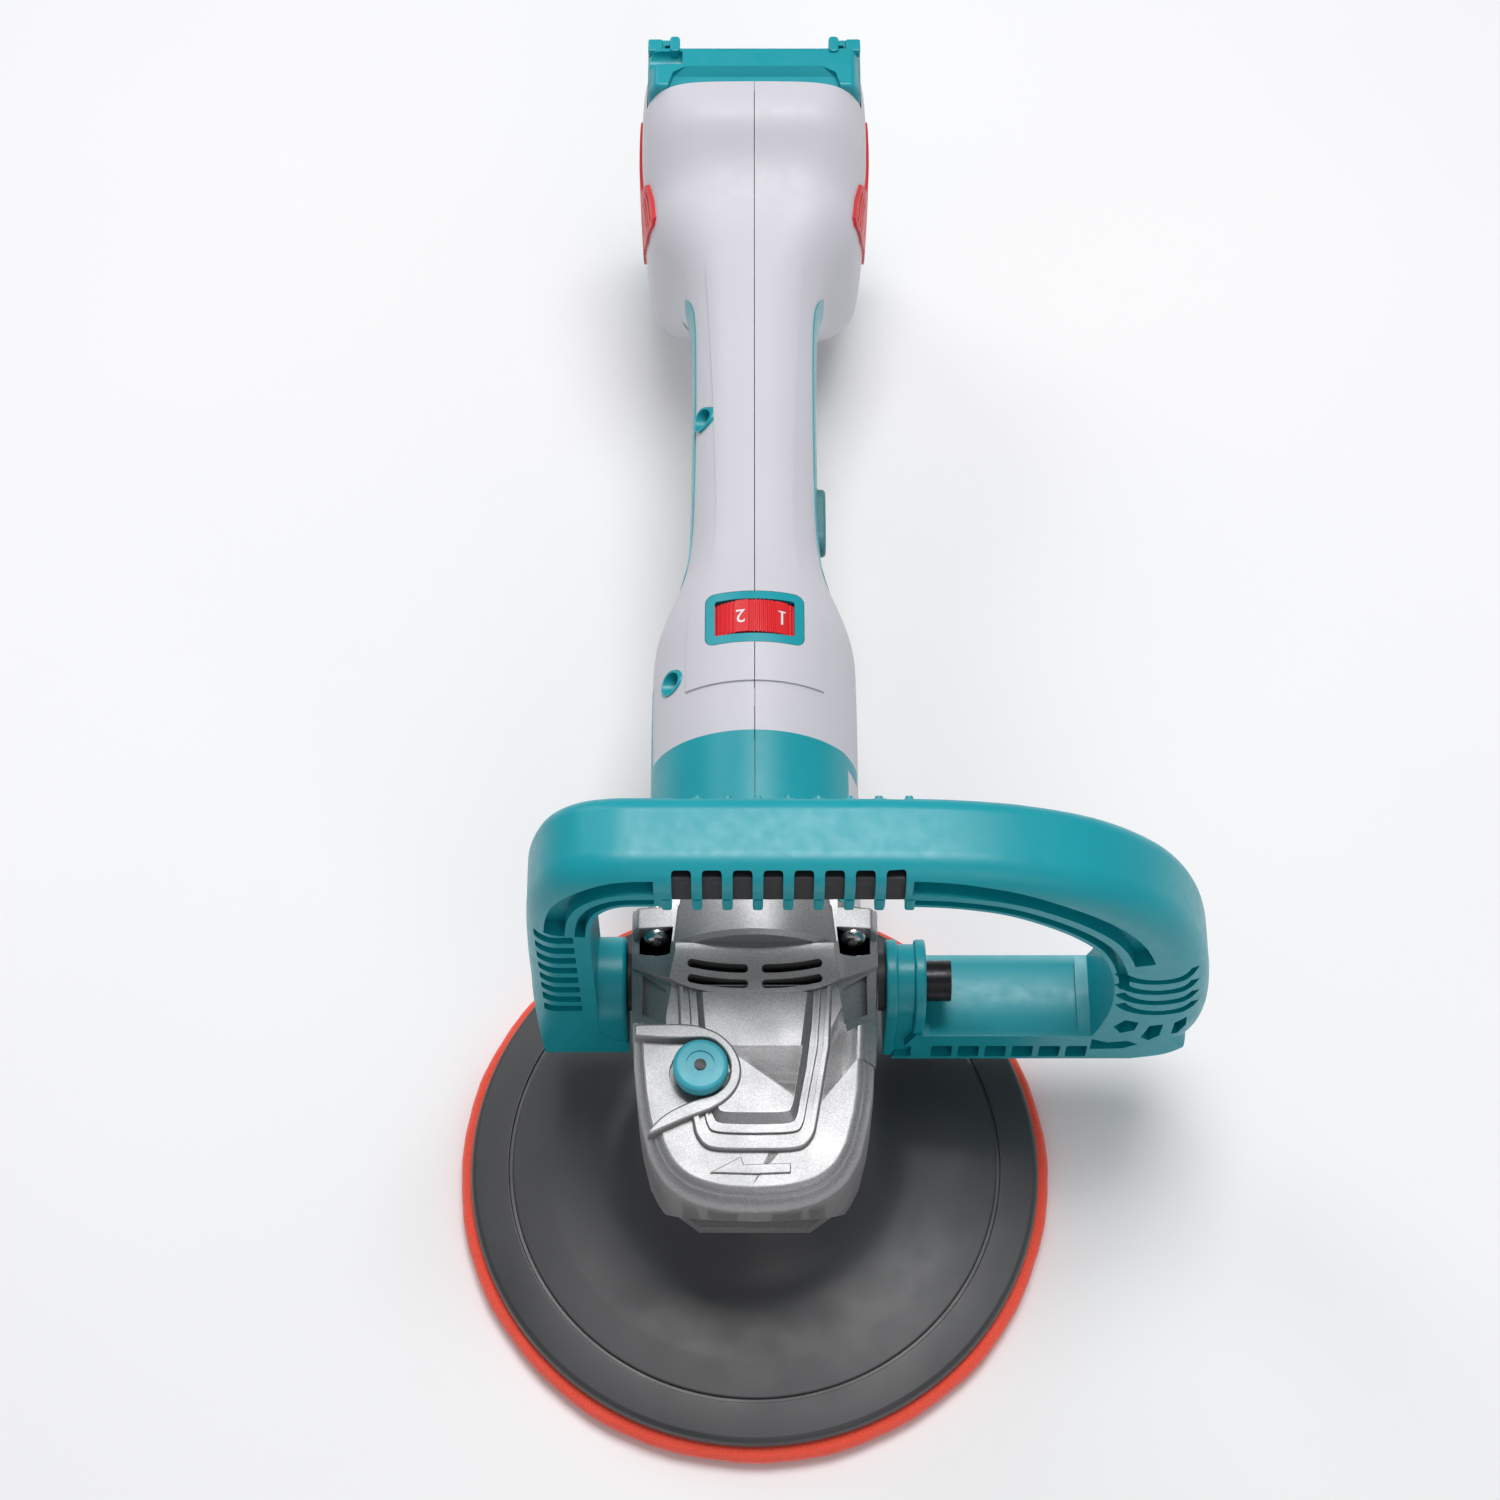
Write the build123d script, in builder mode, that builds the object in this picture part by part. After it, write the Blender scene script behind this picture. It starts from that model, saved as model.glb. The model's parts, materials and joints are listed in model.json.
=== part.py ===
"""Cordless rotary polisher with a loop front handle and a 180 mm backing pad.

Frame: millimetres, +Z up, +Y from the spindle towards the battery end, +X to the side of the hand loop.
Origin: the centre of the pad's hook face, on the spindle axis.
"""

import math
import os

from build123d import *

os.makedirs("parts", exist_ok=True)

# ---------------------------------------------------------------- driving dimensions
PAD_R = 90.0  # backing plate radius (180 mm pad)
FOAM_R = 93.4  # widest radius of the soft foam layer
HOOK_T = 1.2  # hook sheet under the foam
FOAM_TOP = 8.0  # foam to backing plate joint
HUB_TOP = 34.0  # top of the backing plate's hub
THREAD_R = 6.9  # M14 spindle nose
MOTOR_Z = 81.0  # height of the motor axis
BARREL_R = 32.5  # motor barrel radius
WALL = 2.6  # plastic wall
SEAM = 0.1  # half the gap between the two housing halves
CASE_BOTTOM = 60.0  # underside of the gear case
CASE_REAR = 50.0  # joint between gear case and plastic housing
CASE_HALF = 36.6  # half width of the gear case at the handle bosses
BAND_REAR = 102.0  # rear edge of the coloured front band
FRAME_FRONT = 344.0  # front of the battery end frame
FRAME_REAR = 361.0
BOLT_Y, BOLT_Z = 35.0, 76.0  # axis of the two handle bolts
LOCK_X, LOCK_Y = -15.8, -3.8  # spindle lock button
DIAL_Y, DIAL_Z = 141.5, 95.6  # speed wheel axis
DIAL_R, DIAL_W = 18.6, 11.5

# bevel pair
MODULE = 1.5
PINION_TEETH, CROWN_TEETH = 10, 37
FACE_WIDTH = 7.5
PRESSURE = math.radians(20)
BACKLASH = 0.16  # taken off each flank
CROWN_ADD, CROWN_DED = 0.8, 2.3
PINION_ADD, PINION_DED = 1.7, 1.25


def save(part, name):
    """Labels a finished piece and writes its file."""
    part.label = name
    export_step(part, f"parts/{name}.step")


def across(y, z=0.0, x=0.0):
    """Plane across the tool at y: local x is +X, local y is +Z, normal -Y."""
    return Plane(origin=(x, y, z), x_dir=(1, 0, 0), z_dir=(0, -1, 0))


def side(x):
    """Plane along the tool at x: local x is +Y, local y is +Z, normal +X."""
    return Plane(origin=(x, 0, 0), x_dir=(0, 1, 0), z_dir=(1, 0, 0))


# ---------------------------------------------------------------- pad group
with BuildPart() as hook_face:
    with BuildSketch(Plane.XY):
        Circle(FOAM_R - 1.6)
    extrude(amount=HOOK_T)
save(hook_face.part, "hook_face")

with BuildPart() as foam_layer:
    with BuildSketch(Plane.XZ):
        with BuildLine():
            Polyline((FOAM_R - 1.6, HOOK_T), (0, HOOK_T), (0, FOAM_TOP), (PAD_R - 0.6, FOAM_TOP))
            ThreePointArc((PAD_R - 0.6, FOAM_TOP), (FOAM_R, 4.4), (FOAM_R - 1.6, HOOK_T))
        make_face()
    revolve(axis=Axis.Z)
save(foam_layer.part, "foam_layer")

GROOVE_R = 77.0
with BuildPart() as backing_plate:
    with BuildSketch(Plane.XZ):
        with BuildLine():
            Polyline((11.05, FOAM_TOP), (PAD_R - 1, FOAM_TOP))
            ThreePointArc((PAD_R - 1, FOAM_TOP), (PAD_R, 9.5), (PAD_R - 0.6, 12.2))
            Polyline(
                (PAD_R - 0.6, 12.2),
                (PAD_R - 1.8, 13.2),
                (GROOVE_R + 0.7, 14.6),
                (GROOVE_R + 0.35, 13.7),
                (GROOVE_R - 0.35, 13.7),
                (GROOVE_R - 0.7, 14.9),
                (52, 17.4),
            )
            Bezier((52, 17.4), (42, 18.4), (38, 20.5), (31, 28.5))
            Bezier((31, 28.5), (27.5, 32.4), (26, HUB_TOP), (21, HUB_TOP))
            Polyline((21, HUB_TOP), (11.05, HUB_TOP), (11.05, FOAM_TOP))
        make_face()
    revolve(axis=Axis.Z)
save(backing_plate.part, "backing_plate")

with BuildPart() as hub_insert:
    with BuildSketch(Plane.XY.offset(9)):
        Circle(11)
        Circle(THREAD_R + 0.1, mode=Mode.SUBTRACT)
    extrude(amount=26.5)
    with BuildSketch(Plane.XY.offset(HUB_TOP + 0.05)):
        RegularPolygon(15, 6)
        Circle(THREAD_R + 0.1, mode=Mode.SUBTRACT)
    extrude(amount=1.45)
save(hub_insert.part, "hub_insert")

with BuildPart() as output_spindle:
    with BuildSketch(Plane.XZ):
        Polygon(
            (0, 12), (THREAD_R - 1, 12), (THREAD_R, 13), (THREAD_R, 35.6), (10.5, 35.6), (10.5, 44.5),
            (8.5, 46.9), (6, 46.9), (6, 75), (4, 75), (4, 96.6), (0, 96.6), align=None,
        )
    revolve(axis=Axis.Z)
    with BuildSketch(Plane.XY.offset(37)):
        with Locations((0, 11), (0, -11)):
            Rectangle(24, 5)
    extrude(amount=5, mode=Mode.SUBTRACT)
save(output_spindle.part, "output_spindle")


def bearing(axis_plane, bore_r, outer_r, width, balls=8):
    """Ball bearing along a plane's normal: returns its inner ring, its outer ring and its balls."""
    mid = (bore_r + outer_r) / 2
    ball_r = 0.27 * (outer_r - bore_r)
    with BuildPart() as inner:
        with BuildSketch(axis_plane):
            Circle(mid - 0.55 * ball_r)
            Circle(bore_r, mode=Mode.SUBTRACT)
        extrude(amount=width)
    with BuildPart() as outer:
        with BuildSketch(axis_plane):
            Circle(outer_r)
            Circle(mid + 0.55 * ball_r, mode=Mode.SUBTRACT)
        extrude(amount=width)
    with BuildPart() as ring_of_balls:
        with Locations(axis_plane.offset(width / 2)):
            with PolarLocations(mid, balls):
                Sphere(ball_r * 0.5)
    return inner.part, outer.part, ring_of_balls.part


SPINDLE_BRG = Plane.XY.offset(47.0)
in_a, out_a, balls_a = bearing(SPINDLE_BRG, 6.0, 16.0, 10)
TOP_BRG = Plane.XY.offset(91.4)
in_b, out_b, balls_b = bearing(TOP_BRG, 4.0, 8.0, 5)
save(Compound(children=[in_a, in_b]), "spindle_bearing_inner_rings")
save(Compound(children=[out_a, out_b]), "spindle_bearing_outer_rings")
save(Compound(children=[*balls_a.solids(), *balls_b.solids()]), "spindle_bearing_balls")

MOTOR_AXIS = Plane(origin=(0, 0, MOTOR_Z), x_dir=(1, 0, 0), z_dir=(0, 1, 0))
in_c, out_c, balls_c = bearing(MOTOR_AXIS.offset(33.5), 4.0, 11.0, 7)
in_d, out_d, balls_d = bearing(MOTOR_AXIS.offset(113.0), 4.0, 11.0, 7)
save(Compound(children=[in_c, in_d]), "motor_bearing_inner_rings")
save(Compound(children=[out_c, out_d]), "motor_bearing_outer_rings")
save(Compound(children=[*balls_c.solids(), *balls_d.solids()]), "motor_bearing_balls")

# ---------------------------------------------------------------- bevel pair
CROWN_PITCH_R = MODULE * CROWN_TEETH / 2
PINION_PITCH_R = MODULE * PINION_TEETH / 2
CROWN_ANGLE = math.atan2(CROWN_TEETH, PINION_TEETH)  # pitch cone half angle of the crown wheel
PINION_ANGLE = math.pi / 2 - CROWN_ANGLE
CONE = CROWN_PITCH_R / math.sin(CROWN_ANGLE)  # outer cone distance
HALF_TOOTH = math.pi * MODULE / 4 - BACKLASH


def involute_half(virtual_r, radius):
    """Half thickness of an involute tooth at a radius, for a given virtual pitch radius."""
    base = virtual_r * math.cos(PRESSURE)
    inv_pitch = math.tan(PRESSURE) - PRESSURE
    if radius <= base:
        turn = inv_pitch
    else:
        angle = math.acos(base / radius)
        turn = inv_pitch - (math.tan(angle) - angle)
    return radius * math.sin(HALF_TOOTH / virtual_r + turn)


def bevel_tooth(pitch_r, cone_angle, addendum, dedendum):
    """One straight bevel tooth, its centre on local +X, its wheel's axis along +Z, its cone's apex at the origin."""
    virtual_r = pitch_r / math.cos(cone_angle)
    heights = [-dedendum + (addendum + dedendum) * i / 6 for i in range(7)]
    flank = [(involute_half(virtual_r, virtual_r + h), h) for h in heights]
    outline = flank + [(-w, h) for w, h in reversed(flank)]
    ends = []
    for share in (1.0, 1.0 - FACE_WIDTH / CONE):
        origin = Vector(math.sin(cone_angle), 0, math.cos(cone_angle)) * CONE * share
        outward = Vector(math.cos(cone_angle), 0, -math.sin(cone_angle))
        plane = Plane(origin=origin, x_dir=(0, 1, 0), z_dir=Vector(0, 1, 0).cross(outward))
        with BuildSketch(plane) as end:
            with BuildLine():
                Polyline(*[(w * share, h * share) for w, h in outline], close=True)
            make_face()
        ends.append(end.sketch)
    return loft(ends, ruled=True)


def cone_point(distance, cone_angle, height):
    """Radius and axial distance from the apex, for a place on the back or front of the teeth."""
    radius = distance * math.sin(cone_angle) + height * math.cos(cone_angle)
    return radius, distance * math.cos(cone_angle) - height * math.sin(cone_angle)


def wheel_blank(cone_angle, dedendum, bore_r, inner, back):
    """Blank under the teeth: its top is the root cone, its back a plane at the given axial distance."""
    share = 1.0 - FACE_WIDTH / CONE
    outer_r, outer_z = cone_point(CONE, cone_angle, -dedendum + 0.12)
    inner_r, inner_z = cone_point(CONE * share, cone_angle, (-dedendum + 0.12) * share)
    with BuildPart() as blank:
        with BuildSketch(Plane.XZ):
            Polygon(
                (bore_r, inner), (inner_r, inner_z), (outer_r, outer_z), (outer_r, back), (bore_r, back),
                align=None,
            )
        revolve(axis=Axis.Z)
    return blank.part


share_in = 1.0 - FACE_WIDTH / CONE
crown_inner_z = cone_point(CONE * share_in, CROWN_ANGLE, -CROWN_DED * share_in)[1]
crown_blank = wheel_blank(CROWN_ANGLE, CROWN_DED, 6.02, crown_inner_z + 0.4, 17.5)
crown_tooth = bevel_tooth(CROWN_PITCH_R, CROWN_ANGLE, CROWN_ADD, CROWN_DED)
with BuildPart() as crown_wheel:
    add(crown_blank)
    with PolarLocations(0, CROWN_TEETH, start_angle=180 / CROWN_TEETH):
        add(crown_tooth)
    with BuildSketch(Plane.XY.offset(crown_inner_z - 1)):
        with PolarLocations(math.hypot(LOCK_X, LOCK_Y), 4, start_angle=90 - math.degrees(math.atan2(LOCK_Y, LOCK_X))):
            Circle(2.9)
    extrude(amount=16, mode=Mode.SUBTRACT)
# the wheel is built apex up, so it is turned over to stand under the motor axis, a gap towards +Y
crown_part = Pos(0, 0, MOTOR_Z) * Rot(180, 0, -90) * crown_wheel.part
save(crown_part, "crown_gear")

pinion_inner = cone_point(CONE * share_in, PINION_ANGLE, -PINION_DED * share_in)[1]
pinion_blank = wheel_blank(PINION_ANGLE, PINION_DED, 4.02, pinion_inner, 30.5)
pinion_tooth = bevel_tooth(PINION_PITCH_R, PINION_ANGLE, PINION_ADD, PINION_DED)
with BuildPart() as drive_pinion:
    add(pinion_blank)
    with PolarLocations(0, PINION_TEETH):
        add(pinion_tooth)
pinion_part = Pos(0, 0, MOTOR_Z) * Rot(-90, 0, 90) * drive_pinion.part
save(pinion_part, "drive_pinion")

with BuildPart() as crown_spacer:
    with BuildSketch(Plane.XY.offset(57.1)):
        Circle(9)
        Circle(6.02, mode=Mode.SUBTRACT)
    extrude(amount=MOTOR_Z - 17.5 - 57.2)
save(crown_spacer.part, "crown_gear_spacer")

with BuildPart() as bearing_circlip:
    with BuildSketch(Plane.XY.offset(57.05)):
        Circle(17)
        Circle(14.4, mode=Mode.SUBTRACT)
        with Locations((0, 15)):
            Rectangle(7, 6, mode=Mode.SUBTRACT)
    extrude(amount=1.2)
save(bearing_circlip.part, "bearing_circlip")

# ---------------------------------------------------------------- gear case
CASE_PLAN = [
    (CASE_HALF, 47), (CASE_HALF, 29), (36.0, 13), (34.2, 5), (33.2, -3), (31.0, -16), (26.4, -31.5), (18.5, -37.6),
    (7, -39.5),
]
CASE_SIDE = [
    (-45, 59), (-45, 80), (-38.6, 88), (-33.5, 95), (18, 101), (21, 101.5), (33, 108.5), (37, 108.5), (38.5, 104.2),
    (47, 104.2), (47, 59),
]
CASE_FRONT = [(38.5, 59), (38.5, 84), (36.8, 88), (26, 101.2), (24, 112)]
TOP_SLOPE = (101 - 95) / (18 + 33.5)
LOCK_TOP = 101 + (LOCK_Y - 18) * TOP_SLOPE  # case surface at the lock button
LOCK_FLOOR = LOCK_TOP - 3.0
SPRING_FLOOR = 89.6
CAVITY_R, CAVITY_TOP = 30.0, 88.0
CASE_SCREWS = [(27.5, 89.9), (-27.5, 89.9), (21.5, 61.7), (-21.5, 61.7)]
CASE_SCREW_R = 1.7
CASE_SCREW_SEAT = 40.0


def mirrored(points):
    """Closed outline from the points of its right half."""
    return points + [(-x, y) for x, y in reversed(points)]


with BuildPart() as gear_case:
    with BuildSketch(Plane.XY.offset(CASE_BOTTOM)):
        Polygon(*mirrored(CASE_PLAN), align=None)
    extrude(amount=50)
    with BuildSketch(Plane.YZ):
        Polygon(*CASE_SIDE, align=None)
    extrude(amount=60, both=True, mode=Mode.INTERSECT)
    with BuildSketch(Plane.XZ):
        Polygon(*mirrored(CASE_FRONT), align=None)
    extrude(amount=60, both=True, mode=Mode.INTERSECT)
    # round flange that meets the motor barrel
    with BuildSketch(Plane.YZ):
        Polygon(
            (38, MOTOR_Z), (38, MOTOR_Z + 26), (45, MOTOR_Z + BARREL_R), (CASE_REAR, MOTOR_Z + BARREL_R),
            (CASE_REAR, MOTOR_Z), align=None,
        )
    revolve(axis=Axis((0, 0, MOTOR_Z), (0, 1, 0)))
    # gear cavity, pinion tunnel with its bearing seat, fan recess
    with BuildSketch(Plane.XY.offset(CASE_BOTTOM - 1)):
        Circle(CAVITY_R)
    extrude(amount=CAVITY_TOP - CASE_BOTTOM + 1, mode=Mode.SUBTRACT)
    with BuildSketch(MOTOR_AXIS):
        Circle(11.0)
    extrude(amount=40.5, mode=Mode.SUBTRACT)
    with BuildSketch(MOTOR_AXIS.offset(40)):
        Circle(8.5)
    extrude(amount=10, mode=Mode.SUBTRACT)
    with BuildSketch(MOTOR_AXIS.offset(45.5)):
        Circle(27.2)
    extrude(amount=10, mode=Mode.SUBTRACT)
    with BuildSketch(Plane.XY.offset(85)):
        Circle(8.0)
    extrude(amount=12, mode=Mode.SUBTRACT)
    # exhaust channel over the bearing, and its four slots
    with BuildSketch(Plane.XZ.offset(-26)):
        with Locations((0, 99.2)):
            Rectangle(40, 5.6)
    extrude(amount=-21, mode=Mode.SUBTRACT)
    with BuildSketch(Plane.XY.offset(100)):
        with Locations((11.5, 25.6), (-11.5, 25.6), (11.5, 31), (-11.5, 31)):
            SlotOverall(17, 2.3)
    extrude(amount=12, mode=Mode.SUBTRACT)
    # lock button recess, spring pocket and pin guide
    with BuildSketch(Plane.XY.offset(LOCK_FLOOR)):
        with Locations((LOCK_X, LOCK_Y)):
            Circle(8.8)
    extrude(amount=12, mode=Mode.SUBTRACT)
    with BuildSketch(Plane.XY.offset(SPRING_FLOOR - 0.05)):
        with Locations((LOCK_X, LOCK_Y)):
            Circle(4.6)
    extrude(amount=12, mode=Mode.SUBTRACT)
    with BuildSketch(Plane.XY.offset(CAVITY_TOP - 4)):
        with Locations((LOCK_X, LOCK_Y)):
            Circle(2.7)
    extrude(amount=12, mode=Mode.SUBTRACT)
    # screw pockets and holes at the rear, cap screw holes below, handle bolt holes at the sides
    with BuildSketch(Plane.XY.offset(84.5)):
        for hand in (1, -1):
            Polygon(
                (hand * 28.0, 22), (hand * 34.0, CASE_SCREW_SEAT), (hand * 22.8, CASE_SCREW_SEAT), align=None,
            )
    extrude(amount=30, mode=Mode.SUBTRACT)
    with BuildSketch(Plane.XZ.offset(-33)):
        with Locations(*CASE_SCREWS[2:]):
            Circle(4.2)
    extrude(amount=-7, mode=Mode.SUBTRACT)
    with BuildSketch(Plane.XZ.offset(-39)):
        with Locations(*CASE_SCREWS):
            Circle(CASE_SCREW_R + 0.05)
    extrude(amount=-12, mode=Mode.SUBTRACT)
CAP_SCREWS = [(22.5, -26.5), (-22.5, -26.5), (27.0, 24.0), (-27.0, 24.0)]
with BuildPart() as case_holes:
    with BuildSketch(Plane.XY.offset(CASE_BOTTOM - 1)):
        with Locations(*CAP_SCREWS):
            Circle(2.05)
    extrude(amount=15)
    for hand in (1, -1):
        with BuildSketch(side(hand * 24)):
            with Locations((BOLT_Y, BOLT_Z)):
                Circle(4.05)
        extrude(amount=hand * 20)
with BuildPart() as finished_case:
    add(gear_case.part)
    add(case_holes.part, mode=Mode.SUBTRACT)
save(finished_case.part, "gear_case")

with BuildPart() as bearing_cap:
    with BuildSketch(Plane.XY.offset(55)):
        Polygon(*mirrored([(35.2, 31), (35.2, 13), (33.4, 5), (31.9, -5), (29.8, -17), (25.2, -31), (16.5, -37.6)]),
                align=None)
    extrude(amount=CASE_BOTTOM - 55.05)
    with BuildSketch(Plane.XY.offset(45.6)):
        Circle(19.5)
    extrude(amount=10)
    with BuildSketch(Plane.XY.offset(CASE_BOTTOM - 0.1)):
        Circle(CAVITY_R - 0.1)
    extrude(amount=2.6)
    with BuildSketch(Plane.XY.offset(47)):
        Circle(16)
    extrude(amount=20, mode=Mode.SUBTRACT)
    with BuildSketch(Plane.XY.offset(57)):
        Circle(17.05)
    extrude(amount=1.3, mode=Mode.SUBTRACT)
    with BuildSketch(Plane.XY.offset(45)):
        Circle(10.9)
    extrude(amount=5, mode=Mode.SUBTRACT)
    with BuildSketch(Plane.XY.offset(54)):
        with Locations(*CAP_SCREWS):
            Circle(2.1)
    extrude(amount=10, mode=Mode.SUBTRACT)
    with BuildSketch(Plane.XY.offset(54)):
        with Locations(*CAP_SCREWS):
            Circle(3.9)
    extrude(amount=3, mode=Mode.SUBTRACT)
save(bearing_cap.part, "bearing_cap")


def screw(plane, head_r, head_h, shank_r, length):
    """Cap screw: the head stands on the plane against its normal, the shank runs along the normal."""
    with BuildPart() as fastener:
        with BuildSketch(plane):
            Circle(head_r)
        extrude(amount=-head_h)
        with BuildSketch(plane.offset(-head_h)):
            RegularPolygon(head_r * 0.45, 6)
        extrude(amount=head_h * 0.6, mode=Mode.SUBTRACT)
        with BuildSketch(plane):
            Circle(shank_r)
        extrude(amount=length)
    return fastener.part


def screw_set(places, head_r, head_h, shank_r, length, name):
    """Group of identical screws, one solid each, in one file."""
    group = Compound(children=[screw(place, head_r, head_h, shank_r, length) for place in places])
    save(group, name)


CAP_SEATS = [Plane(origin=(x, y, 57), x_dir=(1, 0, 0), z_dir=(0, 0, 1)) for x, y in CAP_SCREWS]
screw_set(CAP_SEATS, 3.6, 2.6, 2.0, 14.5, "bearing_cap_screws")
CASE_SEATS = [Plane(origin=(x, CASE_SCREW_SEAT, z), x_dir=(1, 0, 0), z_dir=(0, 1, 0)) for x, z in CASE_SCREWS]
screw_set(CASE_SEATS, 3.6, 3.0, CASE_SCREW_R, 20.0, "gear_case_screws")

# ---------------------------------------------------------------- spindle lock
LOCK_TRAVEL = 5.0
BUTTON_BOTTOM = LOCK_FLOOR + LOCK_TRAVEL + 0.4
BUTTON_TOP = BUTTON_BOTTOM + 4.6
PIN_BOTTOM = 75.2
with BuildPart() as spindle_lock_button:
    with BuildSketch(Plane.XY.offset(BUTTON_BOTTOM)):
        with Locations((LOCK_X, LOCK_Y)):
            Circle(8.0)
    extrude(amount=BUTTON_TOP - BUTTON_BOTTOM)
    fillet(spindle_lock_button.edges().filter_by(GeomType.CIRCLE).group_by(Axis.Z)[-1], 1.4)
    with BuildSketch(Plane.XY.offset(BUTTON_TOP - 0.7)):
        with Locations((LOCK_X, LOCK_Y)):
            Circle(4.2)
    extrude(amount=5, mode=Mode.SUBTRACT)
    with BuildSketch(Plane.XY.offset(BUTTON_BOTTOM - 1)):
        with Locations((LOCK_X, LOCK_Y)):
            Circle(1.75)
    extrude(amount=10, mode=Mode.SUBTRACT)
save(spindle_lock_button.part, "spindle_lock_button")

with BuildPart() as spindle_lock_pin:
    with BuildSketch(Plane.XY.offset(PIN_BOTTOM)):
        with Locations((LOCK_X, LOCK_Y)):
            Circle(2.5)
    extrude(amount=BUTTON_BOTTOM - PIN_BOTTOM - 0.02)
    with BuildSketch(Plane.XY.offset(PIN_BOTTOM)):
        with Locations((LOCK_X, LOCK_Y)):
            Circle(1.7)
    extrude(amount=BUTTON_TOP - 0.2 - PIN_BOTTOM)
save(spindle_lock_pin.part, "spindle_lock_pin")


def coil_spring(x, y, bottom, top, radius, wire_r, turns):
    """Coil spring standing on +Z."""
    pitch = (top - bottom - 2 * wire_r) / turns
    with BuildPart() as coil:
        with BuildLine():
            Helix(pitch=pitch, height=pitch * turns, radius=radius, center=(x, y, bottom + wire_r))
        with BuildSketch(Plane(origin=(x + radius, y, bottom + wire_r), x_dir=(1, 0, 0), z_dir=(0, 1, 0))):
            Circle(wire_r)
        sweep(is_frenet=True)
    return coil.part


save(coil_spring(LOCK_X, LOCK_Y, SPRING_FLOOR, BUTTON_BOTTOM - 0.1, 3.6, 0.4, 5), "spindle_lock_spring")

# ---------------------------------------------------------------- motor
FAN_FRONT, FAN_REAR, FAN_R = 51.0, 60.0, 26.0
STATOR_FRONT, STATOR_REAR, STATOR_R = 66.0, 106.0, 27.0
with BuildPart() as motor_shaft:
    with BuildSketch(Plane.YZ):
        Polygon(
            (19.5, MOTOR_Z), (19.5, MOTOR_Z + 4), (41, MOTOR_Z + 4), (41, MOTOR_Z + 5), (112.8, MOTOR_Z + 5),
            (112.8, MOTOR_Z + 4), (122, MOTOR_Z + 4), (122, MOTOR_Z), align=None,
        )
    revolve(axis=Axis((0, 0, MOTOR_Z), (0, 1, 0)))
save(motor_shaft.part, "motor_shaft")

with BuildPart() as rotor_core:
    with BuildSketch(MOTOR_AXIS.offset(68)):
        Circle(13.5)
        Circle(5.02, mode=Mode.SUBTRACT)
        with PolarLocations(10.2, 8):
            Rectangle(2.4, 6, mode=Mode.SUBTRACT)
    extrude(amount=36)
save(rotor_core.part, "rotor_core")

with BuildPart() as cooling_fan:
    with BuildSketch(MOTOR_AXIS.offset(FAN_REAR - 2)):
        Circle(FAN_R)
        Circle(5.02, mode=Mode.SUBTRACT)
    extrude(amount=2)
    with BuildSketch(MOTOR_AXIS.offset(FAN_FRONT)):
        Circle(8.5)
        Circle(5.02, mode=Mode.SUBTRACT)
    extrude(amount=FAN_REAR - FAN_FRONT)
    with BuildSketch(MOTOR_AXIS.offset(FAN_FRONT + 1)):
        with PolarLocations(16.5, 13):
            with Locations(Location((0, 0, 0), (0, 0, 24))):
                Rectangle(15.5, 1.5)
    extrude(amount=FAN_REAR - FAN_FRONT - 2)
save(cooling_fan.part, "cooling_fan")

with BuildPart() as fan_baffle:
    with BuildSketch(MOTOR_AXIS.offset(62.1)):
        Circle(29.8)
        Circle(17, mode=Mode.SUBTRACT)
    extrude(amount=1.8)
save(fan_baffle.part, "fan_baffle")

STATOR_TEETH = 6
with BuildPart() as stator_core:
    with BuildSketch(MOTOR_AXIS.offset(STATOR_FRONT + 5)):
        Circle(STATOR_R)
        Circle(22.5, mode=Mode.SUBTRACT)
        with PolarLocations(19, STATOR_TEETH):
            Rectangle(8, 6)
        with PolarLocations(15.4, STATOR_TEETH):
            Rectangle(1.6, 11)
    extrude(amount=STATOR_REAR - STATOR_FRONT - 10)
save(stator_core.part, "stator_core")

with BuildPart() as stator_windings:
    with BuildSketch(MOTOR_AXIS.offset(STATOR_FRONT)):
        with PolarLocations(19.1, STATOR_TEETH):
            Rectangle(5.2, 11)
    extrude(amount=STATOR_REAR - STATOR_FRONT)
    with BuildSketch(MOTOR_AXIS.offset(STATOR_FRONT + 4.9)):
        with PolarLocations(19.1, STATOR_TEETH):
            Rectangle(9, 6.1)
    extrude(amount=STATOR_REAR - STATOR_FRONT - 9.8, mode=Mode.SUBTRACT)
save(stator_windings.part, "stator_windings")

with BuildPart() as bearing_sleeve:
    with BuildSketch(MOTOR_AXIS.offset(112.8)):
        Circle(13.5)
        Circle(11.02, mode=Mode.SUBTRACT)
    extrude(amount=7.4)
save(bearing_sleeve.part, "rear_bearing_sleeve")

# ---------------------------------------------------------------- plastic body
# station y, width, height, centre height, corner radius
BODY = [
    (CASE_REAR, 65.0, 65.0, MOTOR_Z, 32.0),
    (138.0, 65.0, 65.0, MOTOR_Z, 32.0),
    (146.0, 63.4, 64.2, MOTOR_Z, 30.5),
    (153.0, 59.0, 61.6, 81.4, 27.5),
    (160.0, 52.8, 57.6, 82.0, 24.0),
    (168.0, 46.0, 53.4, 82.6, 20.5),
    (176.0, 42.0, 51.0, 83.0, 18.0),
    (200.0, 40.8, 50.0, 83.0, 16.5),
    (270.0, 41.0, 49.0, 83.0, 16.5),
    (284.0, 43.6, 50.0, 82.0, 17.0),
    (292.0, 50.0, 58.0, 80.0, 17.5),
    (300.0, 60.0, 76.0, 71.5, 18.0),
    (310.0, 69.0, 92.0, 65.0, 17.0),
    (322.0, 75.0, 104.0, 65.5, 15.0),
    (335.0, 77.5, 112.0, 68.0, 12.0),
    (FRAME_FRONT, 78.0, 112.0, 68.0, 11.0),
]


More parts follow.
